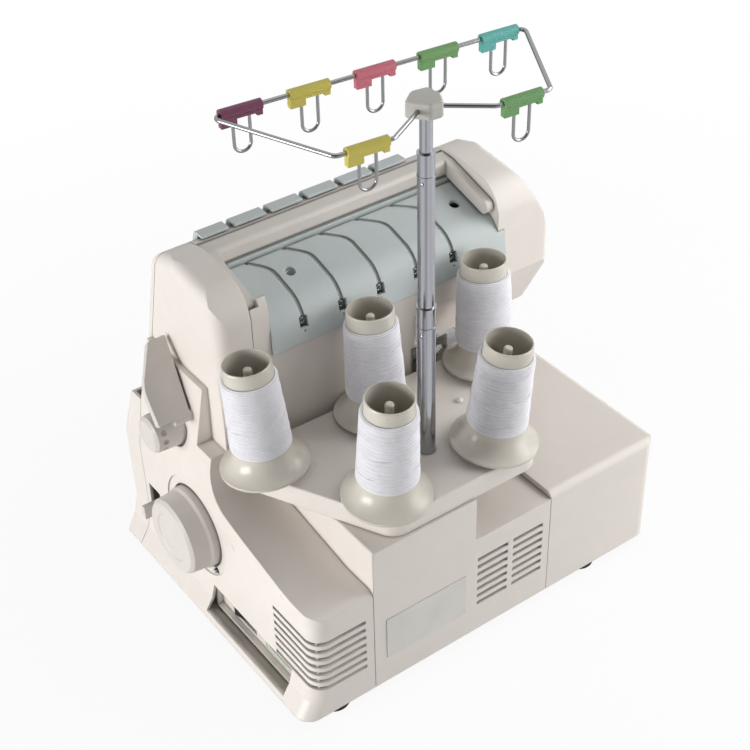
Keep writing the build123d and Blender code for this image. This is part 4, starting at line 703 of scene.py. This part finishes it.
# name, direction from the machine's middle, distance and size in metres, watts
LAMPS = [
    ("wheel_side_box", (0.98, -0.1, 0.07), 2.2, (1.3, 0.9), 43.0),
    ("needle_side_box", (-0.75, 0.66, 0.2), 1.1, (0.7, 0.9), 6.0),
    ("needle_side_top_box", (-0.8, 0.3, 0.55), 0.8, (0.5, 0.5), 2.8),
    ("overhead_box", (-0.2, -0.1, 1.0), 1.6, (1.0, 1.0), 1.6),
]
VIEWER_WAY = (0.55, 0.78, 0.3)
FLOOR_HALF = 40.0
FLOOR_BRIGHT_WHEEL_WAY = (0.97, 0.24, 0.0)
FLOOR_BRIGHT_REAR_WAY = (0.05, 1.0, 0.0)


def aim(thing, spot, right, up, back):
    """Object placed at a spot so that it looks along minus back."""
    thing.matrix_world = Matrix([
        [right[0], up[0], back[0], spot[0]],
        [right[1], up[1], back[1], spot[1]],
        [right[2], up[2], back[2], spot[2]],
        [0.0, 0.0, 0.0, 1.0],
    ])


def lamp(name, toward, distance, size, power):
    """Soft box lamp at a distance in a direction from the machine's middle, facing it."""
    data = bpy.data.lights.new(name, "AREA")
    data.shape = "RECTANGLE"
    data.size, data.size_y = size
    data.energy = power
    lit = bpy.data.objects.new(name, data)
    bpy.context.collection.objects.link(lit)
    back = unit(toward)
    right = unit(np.cross([0.0, 0.0, 1.0], back))
    aim(lit, middle + distance * back, right, np.cross(back, right), back)


for row in LAMPS:
    lamp(*row)


def white_surround():
    """World: grey light on the machine, white where seen, darker in gloss towards the viewer."""
    world = bpy.data.worlds.new("studio")
    world.use_nodes = True
    tool = Tree(world.node_tree)
    path = tool.add("ShaderNodeLightPath")
    seen = tool.maths("MAXIMUM", path.outputs["Is Camera Ray"], path.outputs["Is Transmission Ray"])
    direction = tool.add("ShaderNodeTexCoord").outputs["Generated"]
    toward_viewer = tool.add(
        "ShaderNodeVectorMath", {0: direction, 1: VIEWER_WAY}, operation="DOT_PRODUCT")
    room = tool.spread(toward_viewer.outputs["Value"], 0.2, 0.9, 0.95, 0.12)
    gloss = tool.maths("MULTIPLY", path.outputs["Is Glossy Ray"], room)
    strength = tool.maths("MAXIMUM", seen, gloss)
    height = tool.add("ShaderNodeSeparateXYZ", {0: direction}).outputs[2]
    dome = tool.spread(height, 0.0, 0.9, 0.47, 0.22)
    unseen = tool.maths("SUBTRACT", 1.0, tool.maths("MAXIMUM", seen, path.outputs["Is Glossy Ray"]))
    plain = tool.maths("MULTIPLY", unseen, dome)
    light = tool.maths("ADD", strength, plain)
    back = tool.add("ShaderNodeBackground", {"Color": (1, 1, 1, 1), "Strength": light})
    tool.add("ShaderNodeOutputWorld", {"Surface": back.outputs[0]})
    bpy.context.scene.world = world


def pale_floor():
    """Wide white floor: mostly its own white to the viewer, with a part that takes shadow."""
    half = FLOOR_HALF
    corners = [(-half, -half, 0), (half, -half, 0), (half, half, 0), (-half, half, 0)]
    mesh = bpy.data.meshes.new("floor")
    mesh.from_pydata(corners, [], [(0, 1, 2, 3)])
    floor = bpy.data.objects.new("floor", mesh)
    bpy.context.collection.objects.link(floor)
    material = bpy.data.materials.new("floor_white")
    material.use_nodes = True
    tool = Tree(material.node_tree)
    path = tool.add("ShaderNodeLightPath")
    seen = tool.maths("MAXIMUM", path.outputs["Is Camera Ray"], path.outputs["Is Transmission Ray"])
    heading = tool.add("ShaderNodeVectorMath", {0: tool.place()}, operation="NORMALIZE").outputs["Vector"]
    wheel_way = tool.add(
        "ShaderNodeVectorMath", {0: heading, 1: FLOOR_BRIGHT_WHEEL_WAY}, operation="DOT_PRODUCT")
    rear_way = tool.add(
        "ShaderNodeVectorMath", {0: heading, 1: FLOOR_BRIGHT_REAR_WAY}, operation="DOT_PRODUCT")
    bright = tool.maths(
        "MAXIMUM", tool.spread(wheel_way.outputs["Value"], 0.8, 0.97, 0.1, 1.0),
        tool.spread(rear_way.outputs["Value"], 0.88, 0.99, 0.1, 0.95),
    )
    away = tool.add("ShaderNodeVectorMath", {0: tool.place()}, operation="LENGTH").outputs["Value"]
    near = tool.maths("MAXIMUM", bright, tool.spread(away, 0.2, 0.34, 0.8, 0.1))
    seen = tool.maths("MAXIMUM", seen, tool.maths("MULTIPLY", path.outputs["Is Glossy Ray"], near))
    paint = tool.add("ShaderNodeBsdfDiffuse", {"Color": (0.8, 0.8, 0.8, 1)})
    glow = tool.add("ShaderNodeEmission", {"Color": (1, 1, 1, 1), "Strength": 1.0})
    share = tool.maths("MULTIPLY", seen, tool.spread(away, 0.25, 0.9, 0.92, 1.0))
    both = tool.add("ShaderNodeMixShader", {0: share, 1: paint.outputs[0], 2: glow.outputs[0]})
    tool.add("ShaderNodeOutputMaterial", {"Surface": both.outputs[0]})
    mesh.materials.append(material)


white_surround()
pale_floor()

# ---------------------------------------------------------------- camera
CAMERA_SPOT = [0.52583, 0.73888, 0.86358]
CAMERA_LENS = 71.95
CAMERA_SENSOR = 36.0
azimuth = math.radians(144.69)
elevation = math.radians(37.35)
roll = math.radians(-1.54)
back = np.array([
    math.sin(azimuth) * math.cos(elevation), -math.cos(azimuth) * math.cos(elevation), math.sin(elevation),
])
level_right = unit(np.cross([0.0, 0.0, 1.0], back))
level_up = np.cross(back, level_right)
right = math.cos(roll) * level_right + math.sin(roll) * level_up
up = -math.sin(roll) * level_right + math.cos(roll) * level_up
camera_data = bpy.data.cameras.new("camera")
camera_data.sensor_width = CAMERA_SENSOR
camera_data.lens = CAMERA_LENS
camera = bpy.data.objects.new("camera", camera_data)
bpy.context.collection.objects.link(camera)
aim(camera, np.array(CAMERA_SPOT), right, up, back)
bpy.context.scene.camera = camera
bpy.context.scene.view_settings.view_transform = "Standard"
